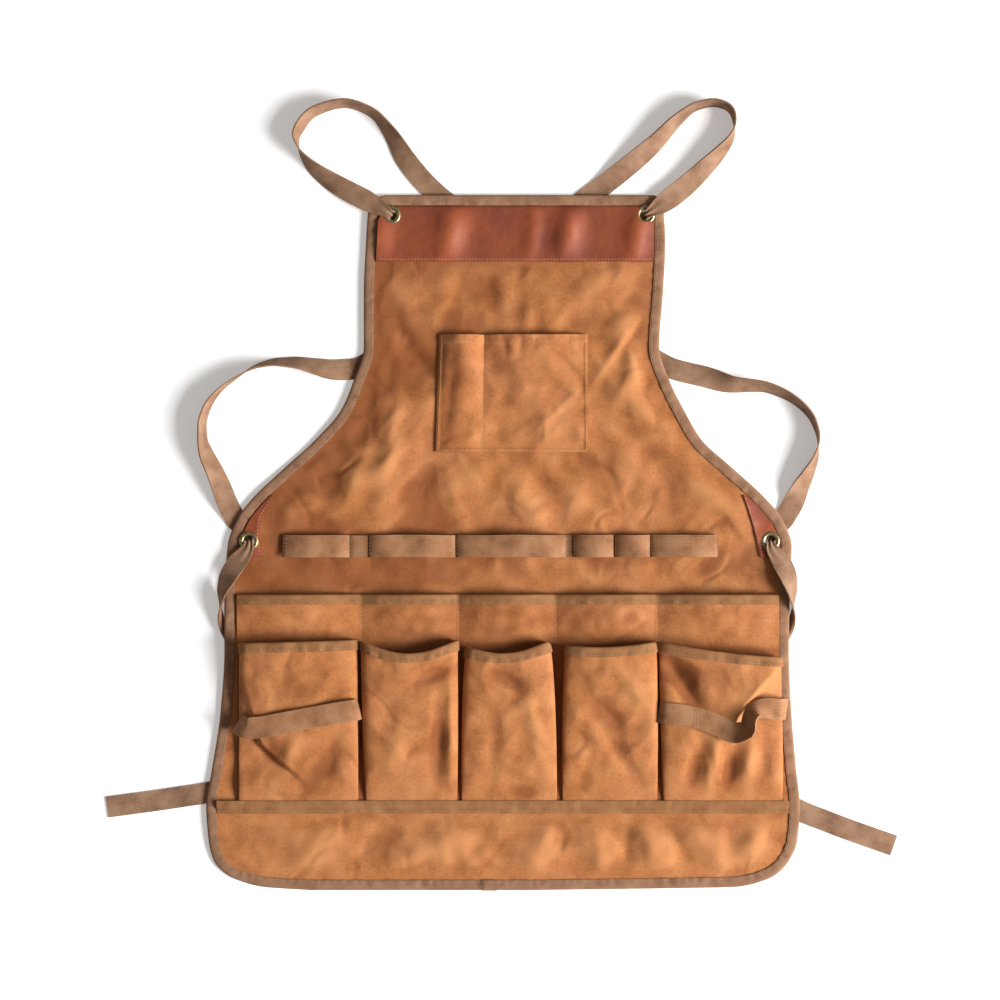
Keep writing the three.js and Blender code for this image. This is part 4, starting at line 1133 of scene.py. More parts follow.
@dataclass
class Panel:
    """The one canvas panel, bib and skirt together, darker above the pockets, with painted shade that deepens towards
    its left and at the waist.
    """

    nodes: tuple[str, ...] = ("body_panel_bib", "body_panel_skirt")
    deeper: float = 1.4
    deeper_from: Span = (-110, -70)
    painted_shade_left: float = 1.5
    left_span: Span = (80, -110)
    painted_shade_waist: float = 2.4
    waist_across: Span = (-30, -110)
    waist_along: Span = (190, 120)

    def tone(self, x: Array, y: Array) -> Array:
        """How pale or deep the canvas is.

        Args:
            x: Places across.
            y: Places along.

        Returns:
            Tones, deeper below 0.
        """
        # Painted shade: darker towards the left, where the light falls off, and deeper still over the left of the
        # waist
        left = self.painted_shade_left * smoothstep(x, *self.left_span)
        waist = self.painted_shade_waist * smoothstep(x, *self.waist_across) * smoothstep(y, *self.waist_along)
        return LAY.relief(x, y) - (self.deeper + left + waist) * smoothstep(y, *self.deeper_from)

    def build(self, finishes: Finishes) -> list[Piece]:
        """Lay the panel out, pierce it and dress it.

        Args:
            finishes: The finishes.

        Returns:
            The panel.
        """
        rows = LAY.heights()
        left, right = LAY.left(rows), LAY.right(rows)
        x = lerp(left[:, None], right[:, None], np.linspace(0.0, 1.0, LAY.columns + 1)[None, :])
        y = np.broadcast_to(rows[:, None], x.shape)
        obj = EYELETS.pierced(np.stack([x, y, LAY.under(x, y)], axis=2), self.tone(x, y), CANVAS)
        enrol(obj, Slot.CANVAS, finishes.canvas, *self.nodes)
        wide = right - left
        area = float(np.sum((wide[1:] + wide[:-1]) / 2 * np.diff(rows)))
        return [obj]


# Section of a tape folded over an edge: how far in from the edge, and which side, from 1 above to -1 below
TAPE_SECTION = ((9.0, 1.0), (7.8, 1.0), (6.0, 1.0), (4.0, 1.0), (2.0, 1.0), (0.5, 0.92), (-0.45, 0.5),
                (-0.75, 0.0), (-0.45, -0.5), (0.5, -0.92), (3.0, -1.0), (6.0, -1.0), (9.0, -1.0))
DEEPEST_PUCKER = -0.3


@dataclass(frozen=True)
class TapePuckers:
    """Puckers of a sewn tape: pinches that come and go along it, and finer ones between them."""

    pinch: float = 0.85
    pinch_size: float = 8.0
    pinch_shift: float = 7.0
    pinch_slant: float = 0.15
    least: float = 0.35
    gap_size: float = 48.0
    gap_row: float = 3.5
    gap_span: Span = (-0.5, 0.4)
    fine: float = 0.3
    fine_size: float = 4.0
    fold_span: Span = (0.0, 6.0)

    def __call__(self, run: Array, inwards: float, start: float) -> Array:
        """Height of the puckers, which die out towards the folded edge.

        Args:
            run: Distance along the tape.
            inwards: Distance in from the folded edge.
            start: Where in the pattern the tape starts.

        Returns:
            Heights in millimetres.
        """
        row = 0.5 + start + self.pinch_slant * inwards
        pinch = self.pinch * PUCKERING(run + self.pinch_shift * start, row, self.pinch_size)
        often = self.least + smoothstep(PUCKERING(run, self.gap_row + start, self.gap_size), *self.gap_span)
        fine = self.fine * PUCKERING(run, inwards + start, self.fine_size)
        return (pinch * often + fine) * smoothstep(inwards, *self.fold_span)


PUCKERS = TapePuckers()


def tape_of(run: Array, columns: Sequence[Array], reliefs: Sequence[Array]) -> Piece:
    """Model a folded tape.

    Args:
        run: Distance along the tape.
        columns: Its rows of points, one for each row of the section.
        reliefs: How far the points of each stand out.

    Returns:
        The tape.
    """
    places = np.stack(columns, axis=1)
    across = run_lengths(places[len(run) // 2])
    obj = Bench.sheet(places, band_of(run, across), np.stack(reliefs, axis=1))
    Bench.thicken(obj, TAPE, Growth.BOTH)
    return obj


@dataclass
class EdgeBinding:
    """One woven tape folded over the whole rim, with its ends lapped at the hem."""

    name: str = "edge_binding"
    step: float = 2.4
    start: float = -18.0
    lap: float = 14.0
    lap_rise: float = 1.3
    lap_out: float = 0.52
    lap_ramp: Span = (-3.0, 1.0)
    outer_edge: float = 0.6
    crown: float = 0.35

    def build(self, finishes: Finishes) -> list[Piece]:
        """Sweep the folded tape round the rim and dress it.

        Args:
            finishes: The finishes.

        Returns:
            The binding.
        """
        path = LAY.rim(self.step, self.start, self.lap)
        run = run_lengths(path)
        heading = np.gradient(path, run, axis=0)
        inwards = leftwards(unit(np.stack([evened(heading[:, k], 2) for k in (0, 1)], axis=1)))
        lapped = smoothstep(run, *(run[-1] - self.lap + end for end in self.lap_ramp))
        half = CANVAS / 2 + SEAM + TAPE / 2
        columns, reliefs = [], []
        for depth, side in TAPE_SECTION:
            within = max(depth, 0.0)
            at = path + inwards * (depth - self.lap_out * lapped[:, None] * (depth < self.outer_edge))
            inner = path + inwards * within
            height = LAY.under(inner[:, 0], inner[:, 1]) + CANVAS / 2 + side * half
            pucker = np.zeros(len(run))
            if side > 0:
                pucker = PUCKERS(run, depth, 0.0)
                crown = self.crown * math.sin(math.pi * min(within / BINDING_REACH, 1.0))
                height = height + crown + np.maximum(pucker, DEEPEST_PUCKER) + self.lap_rise * lapped * side
            columns.append(np.stack([at[:, 0], at[:, 1], height], axis=1))
            reliefs.append(pucker)
        places = np.stack(columns, axis=1)
        across = run_lengths(places[len(run) // 3])
        obj = Bench.sheet(places, band_of(run, across), np.stack(reliefs, axis=1))
        Bench.thicken(obj, TAPE, Growth.BOTH)
        enrol(obj, Slot.TAPE, finishes.edge_tape, self.name)
        list(Panel.nodes)
        return [obj]


@dataclass
class LeatherTrim:
    """Leather yoke across the bib, and the patches at the lower corners of the armholes."""

    top: float = 288.0
    bottom: float = 233.5
    clear: float = 1.0
    corner: float = 5.0
    corner_from: float = 272.0
    rows: int = 44
    columns: int = 190
    rise: float = 0.3
    bevel: float = 0.25
    bevel_wide: float = 2.2
    patch_rows: int = 40
    dents: tuple[Rumple, ...] = (Rumple(0.22, 22), Rumple(0.12, 8))
    deeper: float = 1.0
    patch_columns: int = 26
    patch_clear: float = 2.0
    patch_dents: Rumple = Rumple(0.15, 16)
    patch_rise: float = 0.15
    patch_contrast: float = 4.0
    patch_painted_shade: float = 0.6
    swell_middle: float = 260.0
    swell_lean: float = 0.12
    swell_fade: float = 0.7
    swells: tuple[tuple[float, float, float], ...] = (
        (-122, 14, 2.8), (-52, 14, 5.4), (31, 8, 2), (67, 12, 5.2), (136, 12, 4.8),
    )
    patches: tuple[tuple[str, int, tuple[tuple[float, float], ...]], ...] = (
        ("corner_patch_left", 1, ((0, -227), (-32, -241.5), (-62, -239))),
        ("corner_patch_right", -1, ((0, 241.4), (-32, 252), (-62, 259))),
    )

    def build(self, finishes: Finishes) -> list[Piece]:
        """Model the yoke and the patches and dress them.

        Args:
            finishes: The finishes.

        Returns:
            The leather pieces.
        """
        made = {"leather_yoke": self._yoke()}
        for name, inwards, inner in self.patches:
            made[name] = self._patch(inwards, inner)
        for node, obj in made.items():
            enrol(obj, Slot.LEATHER, finishes.leather, node)
            low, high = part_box(node)
        return list(made.values())

    def _yoke(self) -> Piece:
        """Model the yoke with its swells and dents.

        Returns:
            The yoke.
        """
        y = np.linspace(self.bottom, self.top, self.rows)[:, None]
        inset = BINDING_REACH + self.clear + self.corner * smoothstep(y, self.corner_from, self.top)
        x = lerp(LAY.left(y) + inset, LAY.right(y) - inset, np.linspace(0.0, 1.0, self.columns)[None, :])
        y = np.broadcast_to(y, x.shape)
        lean = self.swell_lean * (y - self.swell_middle)
        swell = sum(rise * np.exp(-((x - at - lean) / spread) ** 2) for at, spread, rise in self.swells)
        swell = swell * np.sin(np.pi * np.clip((self.top - y) / (self.top - self.bottom), 0, 1)) ** self.swell_fade
        dents = folded(self.dents, x, y)
        bevel = self.bevel * smoothstep(np.minimum(y - self.bottom, self.top - y), self.bevel_wide, 0.0)
        raised = np.maximum(swell + dents + self.rise - bevel, 0.0)
        places = np.stack([x, y, LAY.over(x, y) + SEAM + raised], axis=2)
        # Tone: paler on the swells, with painted shade in the valleys between them and in the dents
        return EYELETS.pierced(places, swell - self.deeper + dents, LEATHER)

    def _patch(self, inwards: int, inner: Sequence[tuple[float, float]]) -> Piece:
        """Model one corner patch.

        Args:
            inwards: 1 where the middle of the apron lies to its right, else -1.
            inner: Height and place of its inner edge.

        Returns:
            The patch.
        """
        y = np.linspace(inner[-1][0], inner[0][0], self.patch_rows)[:, None]
        edge = LAY.left if inwards > 0 else LAY.right
        slant = edge(y + 1) - edge(y)
        outer = edge(y) + inwards * (BINDING_REACH * np.hypot(1.0, slant) + self.patch_clear)
        inside = Curve.through(inner, 1)(y)
        ends = (outer, inside) if inwards > 0 else (inside, outer)
        x = lerp(*ends, np.linspace(0.0, 1.0, self.patch_columns)[None, :])
        y = np.broadcast_to(y, x.shape)
        dents = self.patch_dents.height(x, y) + self.patch_rise
        places = np.stack([x, y, LAY.over(x, y) + SEAM + np.maximum(dents, 0.0)], axis=2)
        # Painted shade in the patch's dents
        return EYELETS.pierced(places, dents * self.patch_contrast - self.patch_painted_shade, LEATHER)


@dataclass
class BibPocket:
    """Chest pocket: a wide bay and a narrow one, each bulging at its hemmed mouth."""

    name: str = "bib_pocket"
    left: float = -61.0
    right: float = 86.0
    mouth: float = 160.5
    foot: float = 43.5
    foot_left: float = -65.0
    foot_right: float = 87.0
    rows: int = 96
    columns: int = 121
    divide: float = 0.3
    narrow_swell: float = 10.0
    narrow_ridge: float = 0.58
    narrow_drift: float = 0.14
    narrow_roundness: float = 1.1
    narrow_closing: float = 0.42
    wide_swell: float = 10.0
    wide_roundness: float = 0.85
    wide_closing: float = 1.3
    hem: float = 8.0
    hem_rise: float = 0.9
    hem_edge: float = 0.8
    hem_tone: float = 0.3
    pucker: float = 0.5
    pucker_size: float = 6.0
    pucker_length: float = 0.4
    pucker_span: Span = (7.0, -3.0)
    seam_rise: float = 0.7
    seam_span: Span = (3.6, 2.6)
    seam_start: float = 3.0
    paler: float = 0.7
    narrow_painted_shade: float = 2.0
    narrow_span: Span = (0.32, 0.22)
    creases_fade: Span = (0.0, 14.0)
    rumples: tuple[Rumple, ...] = (Rumple(0.5, 18, 40), Rumple(1.4, 46, 70, 15, 0.3))
    cloth_start: float = 400.0
    folds: tuple[Fold, ...] = (
        Fold(40, 118, -64, 34, 8, -1.4), Fold(66, 82, 66, 36, 9, 1.2), Fold(0, 84, 80, 34, 9, -1.0),
        Fold(26, 62, 10, 30, 8, 0.9), Fold(-52, 96, 84, 50, 7, -2), Fold(20, 150, 84, 16, 5, -1.4),
        Fold(4, 152, 100, 14, 4, -1.3), Fold(57, 86, 44, 26, 5, 1.8, 1.4), Fold(44, 62, 88, 14, 5, 1.4, 1.4),
    )

    def side(self, down: Array) -> tuple[Array, Array]:
        """Left and right edge at a share of the way down."""
        return lerp(self.left, self.foot_left, down), lerp(self.right, self.foot_right, down)

    def build(self, finishes: Finishes) -> list[Piece]:
        """Model the pocket and dress it.

        Args:
            finishes: The finishes.

        Returns:
            The pocket.
        """
        down = np.linspace(1.0, 0.0, self.rows)[:, None]
        share = np.linspace(0.0, 1.0, self.columns)[None, :]
        left, right = self.side(down)
        x = lerp(left, right, share)
        y = np.broadcast_to(lerp(self.mouth, self.foot, down), x.shape)
        narrow = np.clip(share / self.divide, 0.0, 1.0)
        wide = np.clip((share - self.divide) / (1.0 - self.divide), 0.0, 1.0)
        ridge = self.narrow_ridge - self.narrow_drift * down
        tent = np.sin(np.pi / 2 * np.minimum(narrow / ridge, (1.0 - narrow) / (1.0 - ridge)))
        narrow_bow = self.narrow_swell * tent ** self.narrow_roundness * (1.0 - down) ** self.narrow_closing
        wide_bow = self.wide_swell * np.sin(np.pi * wide) ** self.wide_roundness
        swell = narrow_bow + wide_bow * (1.0 - down) ** self.wide_closing
        to_edge = np.minimum(np.minimum(x - left, right - x), y - self.foot)
        creases = folded(self.folds, x, y) + folded(self.rumples, x, y)
        creases = creases * smoothstep(to_edge, *self.creases_fade)
        to_mouth = self.mouth - y
        pucker = self.pucker * PUCKERING(x, y * self.pucker_length, self.pucker_size)
        hem = self.hem_rise * smoothstep(to_mouth, self.hem + self.hem_edge, self.hem - self.hem_edge)
        hem = hem + pucker * smoothstep(to_mouth, *(self.hem + end for end in self.pucker_span))
        seam = self.seam_rise * smoothstep(to_edge, *self.seam_span)
        seam = seam * smoothstep(to_mouth, self.hem, self.hem + self.seam_start)
        raised = np.maximum(swell + creases, 0.0) + np.maximum(hem, 0.0) + seam
        tone = creases + hem * self.hem_tone + self.paler
        # Painted shade over the narrow bay, beside the pencil's ridge
        tone = tone - self.narrow_painted_shade * smoothstep(share, *self.narrow_span)
        places = np.stack([x, y, LAY.over(x, y) + SEAM + raised], axis=2)
        obj = Bench.sheet(places, cloth_of(places) + self.cloth_start, tone)
        Bench.thicken(obj, CANVAS, Growth.OUTWARDS)
        enrol(obj, Slot.CANVAS, finishes.canvas, self.name)
        flat = (float(run_lengths(places[-1])[-1]) * MM, (self.mouth - self.foot) * MM)
        return [obj]


@dataclass
class ToolLoops:
    """Webbing strip across the waist, tacked down at intervals so that it stands off in loops."""

    name: str = "tool_loop_strip"
    y: float = -50.5
    wide: float = 22.0
    start: float = -218.0
    loops: tuple[tuple[float, float], ...] = (
        (-151, 7), (-132, 1), (-45, 9), (65, 11), (72, 0), (113, 8), (149, 8), (216, 7),
    )
    roundness: float = 0.6
    step: float = 2.0
    columns: int = 9
    clear: float = 0.3
    end_tack: float = 2.5
    sway: float = 0.5
    sway_row: float = 9.3
    sway_size: float = 40.0
    curl: float = 0.5
    curl_from: float = 2.0
    curl_power: int = 4
    tack_span: Span = (0.0, 1.6)
    tack_painted_shade: float = 0.8

    def tacks(self) -> list[float]:
        """Places across where the strip is tacked down."""
        ends = [end for end, _ in self.loops]
        return [self.start + self.end_tack, *ends[:-1], ends[-1] - self.end_tack]

    def build(self, finishes: Finishes) -> list[Piece]:
        """Model the strip and dress it.

        Args:
            finishes: The finishes.

        Returns:
            The strip.
        """
        x_places, stands = [], []
        start = self.start
        for end, stand in self.loops:
            share = np.linspace(0.0, 1.0, max(int((end - start) / self.step), 3), endpoint=False)
            x_places.append(lerp(start, end, share))
            stands.append(stand * np.sin(np.pi * share) ** self.roundness)
            start = end
        x = np.concatenate([*x_places, [start]])
        stand = np.concatenate([*stands, [0.0]])
        offsets = np.linspace(-self.wide / 2, self.wide / 2, self.columns)
        below = np.max([LAY.over(x, np.full(x.shape, self.y + k)) for k in offsets], axis=0)
        height = evened(below, 3) + self.clear + LOOSE_SEAM + SEAM + stand + WEBBING / 2
        y = self.y + self.sway * PUCKERING(x, self.sway_row, self.sway_size)
        curl = self.curl * (stand > self.curl_from)
        places = np.stack([np.stack([x, y + k, height - curl * (2 * k / self.wide) ** self.curl_power], axis=1)
                           for k in offsets], axis=1)
        run = run_lengths(places[:, self.columns // 2])
        # Painted shade at the tacks, in the dips between the loops
        tone = (smoothstep(stand, *self.tack_span) - 1.0) * self.tack_painted_shade
        obj = Bench.sheet(places, band_of(run, offsets), np.broadcast_to(tone[:, None], places.shape[:2]))
        Bench.thicken(obj, WEBBING, Growth.BOTH)
        enrol(obj, Slot.WEBBING, finishes.loop, self.name)
        list(Panel.nodes)
        return [obj]


@dataclass
class UpperPocket:
    """Wide pocket behind, stitched into five compartments that swell at the bound mouth."""

    name: str = "upper_pocket"
    mouth: float = -99.5
    depth: float = 210.0
    swell: float = 10.0
    fall: float = 205.0
    closing: float = 3.0
    lip_rise: float = 1.8
    lip_span: Span = (12, 44)
    rumples: Rumple = Rumple(0.9, 16)
    rumples_from: Span = (9, 16)
    rumples_to: Span = (34, 46)
    rumples_tone: float = 2.0
    stitch_fade: Span = (2, 14)
    bay_columns: int = 40
    shown: float = 56.0
    shown_rows: int = 30
    hidden: float = 60.0
    hidden_rows: int = 20
    under_lips_painted_shade: float = 4.0
    hidden_span: Span = (44, 60)
    middle: float = 8.0
    middle_painted_shadow: float = 1.6
    middle_span: Span = (165, 110)
    pucker_start: float = 3.0
    cloth_start: float = 900.0
    stitches: tuple[float, ...] = (-263, -140, -43, 54, 155, 277)

    def over(self, x: Array, y: Array) -> Array:
        """Upper side of the pocket.

        Args:
            x: Places across.
            y: Places along.

        Returns:
            Heights in millimetres.
        """
        lines = np.asarray(self.stitches)
        bay = np.clip(np.searchsorted(lines, x, side="right") - 1, 0, len(lines) - 2)
        across = np.clip((x - lines[bay]) / (lines[bay + 1] - lines[bay]), 0.0, 1.0)
        fall = np.clip(1 - (self.mouth - y) / self.fall, 0.0, 1.0)
        lip = self.lip_rise * (1 - smoothstep(self.mouth - y, *self.lip_span))
        swell = self.swell * np.sin(np.pi * across) * fall ** self.closing
        return LAY.over(x, y) + SEAM + CANVAS + lip + swell

    def crease(self, x: Array, y: Array) -> Array:
        """Small rumples of the strip that shows above the front pockets.

        Args:
            x: Places across.
            y: Places along.

        Returns:
            Heights in millimetres.
        """
        down = self.mouth - y
        shown = smoothstep(down, *self.rumples_from) * (1 - smoothstep(down, *self.rumples_to))
        near = np.min(np.abs(x[..., None] - np.asarray(self.stitches)), axis=-1)
        return self.rumples.height(x, y) * shown * smoothstep(near, *self.stitch_fade)

    def build(self, finishes: Finishes) -> list[Piece]:
        """Model the pocket and its binding and dress them.

        Args:
            finishes: The finishes.

        Returns:
            The pocket and the binding.
        """
        bays = zip(self.stitches, self.stitches[1:])
        x = np.unique(np.concatenate([np.linspace(a, b, self.bay_columns) for a, b in bays]))
        down = np.concatenate([np.linspace(0, self.shown, self.shown_rows),
                               np.linspace(self.hidden, self.depth, self.hidden_rows)])[::-1]
        xs, ys = np.meshgrid(x, self.mouth - down)
        crease = self.crease(xs, ys)
        places = np.stack([xs, ys, self.over(xs, ys) + crease - CANVAS], axis=2)
        # Painted shade just above the front pockets' lips, and a painted shadow over the middle bays
        tone = crease * self.rumples_tone - self.under_lips_painted_shade * smoothstep(down[:, None], *self.hidden_span)
        tone = tone - self.middle_painted_shadow * smoothstep(np.abs(xs - self.middle), *self.middle_span)
        pocket = Bench.sheet(places, cloth_of(places) + self.cloth_start, tone)
        Bench.thicken(pocket, CANVAS, Growth.OUTWARDS)
        enrol(pocket, Slot.CANVAS, finishes.canvas, self.name)
        wide = float(run_lengths(places[-1])[-1])
        self.depth * MM
        binding = self._binding(x)
        nodes = [f"{self.name}_binding_{bay + 1}" for bay in range(len(self.stitches) - 1)]
        enrol(binding, Slot.TAPE, finishes.pocket_tape, *nodes)
        return [pocket, binding]

    def _binding(self, x: Array) -> Piece:
        """Fold the tape over the mouth.

        Args:
            x: Places across.

        Returns:
            The binding.
        """
        half = CANVAS / 2 + LOOSE_SEAM + TAPE / 2
        columns, reliefs = [], []
        for depth, side in TAPE_SECTION:
            pucker = np.maximum(PUCKERS(x, depth, self.pucker_start), DEEPEST_PUCKER) * (side > 0)
            height = self.over(x, np.full(x.shape, self.mouth - max(depth, 0.0))) - CANVAS / 2 + side * half + pucker
            columns.append(np.stack([x, np.full(x.shape, self.mouth - depth), height], axis=1))
            reliefs.append(pucker)
        return tape_of(run_lengths(columns[0]), columns, reliefs)


UPPER = UpperPocket()


@dataclass(frozen=True)
class Drop:
    """Crease beyond which a pocket's side has sunk: rows of height, place across and depth."""

    rows: tuple[tuple[float, float, float], ...]
    outwards: int
    soft: float = 3.5

    def depth(self, x: Array, y: Array) -> Array:
        """How far the cloth has sunk at places, in millimetres."""
        line, depth = (Curve.through(self.rows, column)(y) for column in (1, 2))
        return depth * smoothstep((x - line) * self.outwards, -self.soft, self.soft)


@dataclass(frozen=True)
class BellowsPocket:
    """One bellows pocket: its sides at mouth and foot, its lip, and its folds.

    It has painted shade on its sides, in the slits between pockets, and painted light that makes it a little paler
    towards the right of the apron.
    """

    number: int
    left: float
    right: float
    foot_left: float
    foot_right: float
    lips: tuple[float, float]
    sag: float
    swell: float
    folds: tuple[Fold, ...]
    drop: Drop | None = None
    foot: float = -306.5
    roundness: float = 6.0
    flare: float = 2.2
    closing: float = 3.0
    foot_fade: float = 0.25
    side_bend: float = 1.0
    fold_gain: float = 1.35
    thinnest: float = 0.2
    paler: float = 0.6
    painted_light_right: float = 0.7
    painted_light_span: Span = (-40, 260)
    sides_painted_shade: float = 4.5
    sides_span: Span = (0.85, 0.3)
    flare_power: int = 9
    flare_span: Span = (0.15, 0.7)
    flare_closing: int = 3
    profile_steps: int = 1440

    @property
    def depth(self) -> float:
        """Depth of the pocket from the middle of its lip to its foot."""
        return (self.lips[0] + self.lips[1]) / 2 - self.foot

    @property
    def rumples(self) -> tuple[Rumple, ...]:
        """Rumples of the front, from another place in the pattern for each pocket."""
        return (Rumple(0.9, 24, 31 * self.number), Rumple(0.3, 11, 0, 60),
                Rumple(1.6, 50, 17 * self.number, -45, 0.3), Rumple(1.3, 30, 0, 13 * self.number, 0.25))

    def profile(self, columns: int) -> tuple[Array, Array]:
        """Share across and stand-off of evenly spread places over the front, from side to side.

        Args:
            columns: How many places.

        Returns:
            Shares across, and shares of the stand-off.
        """
        arc = np.linspace(0.0, np.pi, self.profile_steps + 1)
        lean = np.cos(arc)
        power = 2.0 / self.roundness
        share = 0.5 - 0.5 * np.sign(lean) * np.abs(lean) ** power
        stand = np.maximum(np.sin(arc), 0.0) ** power
        stand[[0, -1]] = 0.0
        run = run_lengths(np.stack([share * (self.right - self.left), stand * self.swell], axis=1))
        even = np.linspace(0.0, run[-1], columns)
        return np.interp(even, run, share), np.interp(even, run, stand)

    def relief(self, x: Array, y: Array) -> Array:
        """Height of the folds and rumples of the front at places, in millimetres."""
        return self.fold_gain * folded(self.folds, x, y) + folded(self.rumples, x, y)

    def surface(self, share: Array, stand: Array, down: Array, inset: Array) -> tuple[Array, Array]:
        """Places on the pocket.

        Args:
            share: Share across the front.
            stand: Share of the stand-off.
            down: Share of the way from the lip to the foot.
            inset: How far inside the outer face.

        Returns:
            The places, and how pale or deep the canvas is there.
        """
        share, stand, down, inset = np.broadcast_arrays(share, stand, down, inset)
        lip = lerp(self.lips[0], self.lips[1], share) - self.sag * stand * np.sin(np.pi * share)
        y = lerp(lip, self.foot, down)
        below = np.maximum(down, 0.0)
        spread = below ** self.side_bend
        left = lerp(self.left, self.foot_left, spread) + inset
        right = lerp(self.right, self.foot_right, spread) - inset
        outwards = (2 * share - 1) ** self.flare_power * smoothstep(stand, *self.flare_span)
        outwards = outwards * (1 - below ** self.flare_closing)
        x = lerp(left, right, share) + self.flare * outwards
        relief = self.relief(x, y)
        sunk = self.drop.depth(x, y) if self.drop else 0.0
        swell = self.swell * (1 - below ** self.closing)
        swell = swell + (relief - sunk) * smoothstep(1 - down, 0.0, self.foot_fade)
        front = np.maximum(CANVAS - inset + swell, self.thinnest) * stand
        # Painted light makes the pockets paler towards the right, and painted shade darkens their sides in the slits
        tone = relief + self.paler + self.painted_light_right * smoothstep(x, *self.painted_light_span)
        tone = tone - self.sides_painted_shade * smoothstep(stand, *self.sides_span)
        return np.stack([x, y, UPPER.over(x, y) + LOOSE_SEAM + front], axis=2), tone


@dataclass
class FrontPockets:
    """Five bellows pockets side by side, each with a bound mouth."""

    columns: int = 110
    rows: int = 76
    ends_bare: int = 3
    deepest_pucker: float = -0.25
    pucker_start: float = 5.0
    cloth_start: float = 300.0
    pockets: tuple[BellowsPocket, ...] = (
        BellowsPocket(1, -258, -144.5, -262, -142.5, (-147.5, -144.5), 0, 17, (
            Fold(-226, -256, -47, 22, 9, -2.5), Fold(-186, -282, 60, 24, 12, -3),
            Fold(-200, -188, 18, 34, 12, -1.6), Fold(-168, -262, 82, 34, 9, -2), Fold(-212, -262, 70, 26, 8, 1.6),
        ), Drop(((-147, -259, 0), (-180, -257, 0), (-205, -252, 3.5), (-225, -247, 8), (-245, -241, 9.5),
                 (-262, -225, 9), (-272, -212, 6.5), (-286, -198, 2.5), (-302, -190, 0)), -1)),
        BellowsPocket(2, -138, -44.5, -135, -43.5, (-146, -145), 12, 19, (
            Fold(-66, -178, 22, 28, 9, -3.5, 1.5), Fold(-62, -252, 90, 44, 9, -4),
            Fold(-100, -212, -30, 30, 10, -1.6), Fold(-108, -262, 78, 34, 10, 1.5), Fold(-50, -230, 90, 60, 5, 1.5),
        )),
        BellowsPocket(3, -32, 45, -39.5, 56, (-152, -146.5), 8, 17, (
            Fold(4, -182, -28, 28, 10, -3, 1.5), Fold(24, -296, 0, 16, 10, -3),
            Fold(-8, -246, 84, 38, 9, -1.8), Fold(34, -236, 102, 36, 8, 1.8), Fold(14, -212, 40, 26, 8, 1.2),
        ), side_bend=0.4),
        BellowsPocket(4, 66, 152.5, 61, 156, (-150, -146.5), 3, 17, (
            Fold(104, -214, -48, 40, 12, -3, 1.6), Fold(120, -262, -58, 30, 10, -2.4),
            Fold(84, -274, 68, 26, 9, -1.8), Fold(132, -190, -50, 28, 8, 1.6), Fold(96, -240, -50, 30, 7, 1.4),
        ), side_bend=0.5),
        BellowsPocket(5, 158, 277, 162, 281, (-146.5, -161.5), 2, 18, (
            Fold(182, -188, -55, 26, 10, -6, 1.5), Fold(228, -274, 84, 26, 9, -4),
            Fold(192, -272, 76, 24, 9, -3), Fold(210, -268, 82, 28, 7, 2), Fold(246, -268, 86, 30, 7, 2.2),
            Fold(222, -178, -20, 30, 9, -1.4), Fold(262, -262, 90, 30, 8, -1.8),
            Fold(252, -202, 51, 34, 7, 3.5, 1.4), Fold(172, -172, -20, 24, 10, -6),
        ), Drop(((-161, 281, 0), (-170, 278, 2), (-185, 264, 7), (-200, 252, 9), (-213, 241, 9),
                 (-226, 234, 6), (-245, 231, 2), (-266, 229, 0)), 1, 4.5)),
    )

    def build(self, finishes: Finishes) -> list[Piece]:
        """Model each pocket and its binding and dress them.

        Args:
            finishes: The finishes.

        Returns:
            The pockets and bindings.
        """
        made = []
        for pocket in self.pockets:
            made.extend([self._body(pocket, finishes), self._binding(pocket, finishes)])
        return made

    def _body(self, pocket: BellowsPocket, finishes: Finishes) -> Piece:
        """Model the front and sides of one pocket.

        Args:
            pocket: The pocket.
            finishes: The finishes.

        Returns:
            The pocket's object.
        """
        name = f"front_pocket_{pocket.number}"
        share, stand = pocket.profile(self.columns)
        down = np.linspace(1.0, 0.0, self.rows)[:, None]
        places, tone = pocket.surface(share[None, :], stand[None, :], down, np.zeros(1))
        obj = Bench.sheet(places, cloth_of(places) + self.cloth_start * pocket.number, tone)
        Bench.thicken(obj, CANVAS, Growth.INWARDS)
        enrol(obj, Slot.CANVAS, finishes.canvas, name)
        wide = float(run_lengths(places[self.rows // 2])[-1])
        deep = float(run_lengths(places[:, self.columns // 2])[-1])
        return obj

    def _binding(self, pocket: BellowsPocket, finishes: Finishes) -> Piece:
        """Fold the tape over the lip of one pocket.

        Args:
            pocket: The pocket.
            finishes: The finishes.

        Returns:
            The binding's object.
        """
        name = f"front_pocket_binding_{pocket.number}"
        share, stand = pocket.profile(self.columns)
        share, stand = (values[None, self.ends_bare:-self.ends_bare] for values in (share, stand))
        outside = -SEAM - TAPE / 2
        inside = CANVAS + SEAM + TAPE / 2
        run = run_lengths(pocket.surface(share, stand, np.zeros(1), np.zeros(1))[0][0])
        columns, reliefs = [], []
        for inwards, side in TAPE_SECTION:
            pucker = PUCKERS(run, inwards, self.pucker_start * pocket.number)
            pucker = np.maximum(pucker, self.deepest_pucker) * (side > 0)
            inset = lerp(inside, outside, (side + 1) / 2) - pucker
            places, _ = pocket.surface(share, stand, np.full(1, inwards / pocket.depth), inset[None])
            columns.append(places[0])
            reliefs.append(pucker)
        obj = tape_of(run, columns, reliefs)
        enrol(obj, Slot.TAPE, finishes.pocket_tape, name)
        return obj


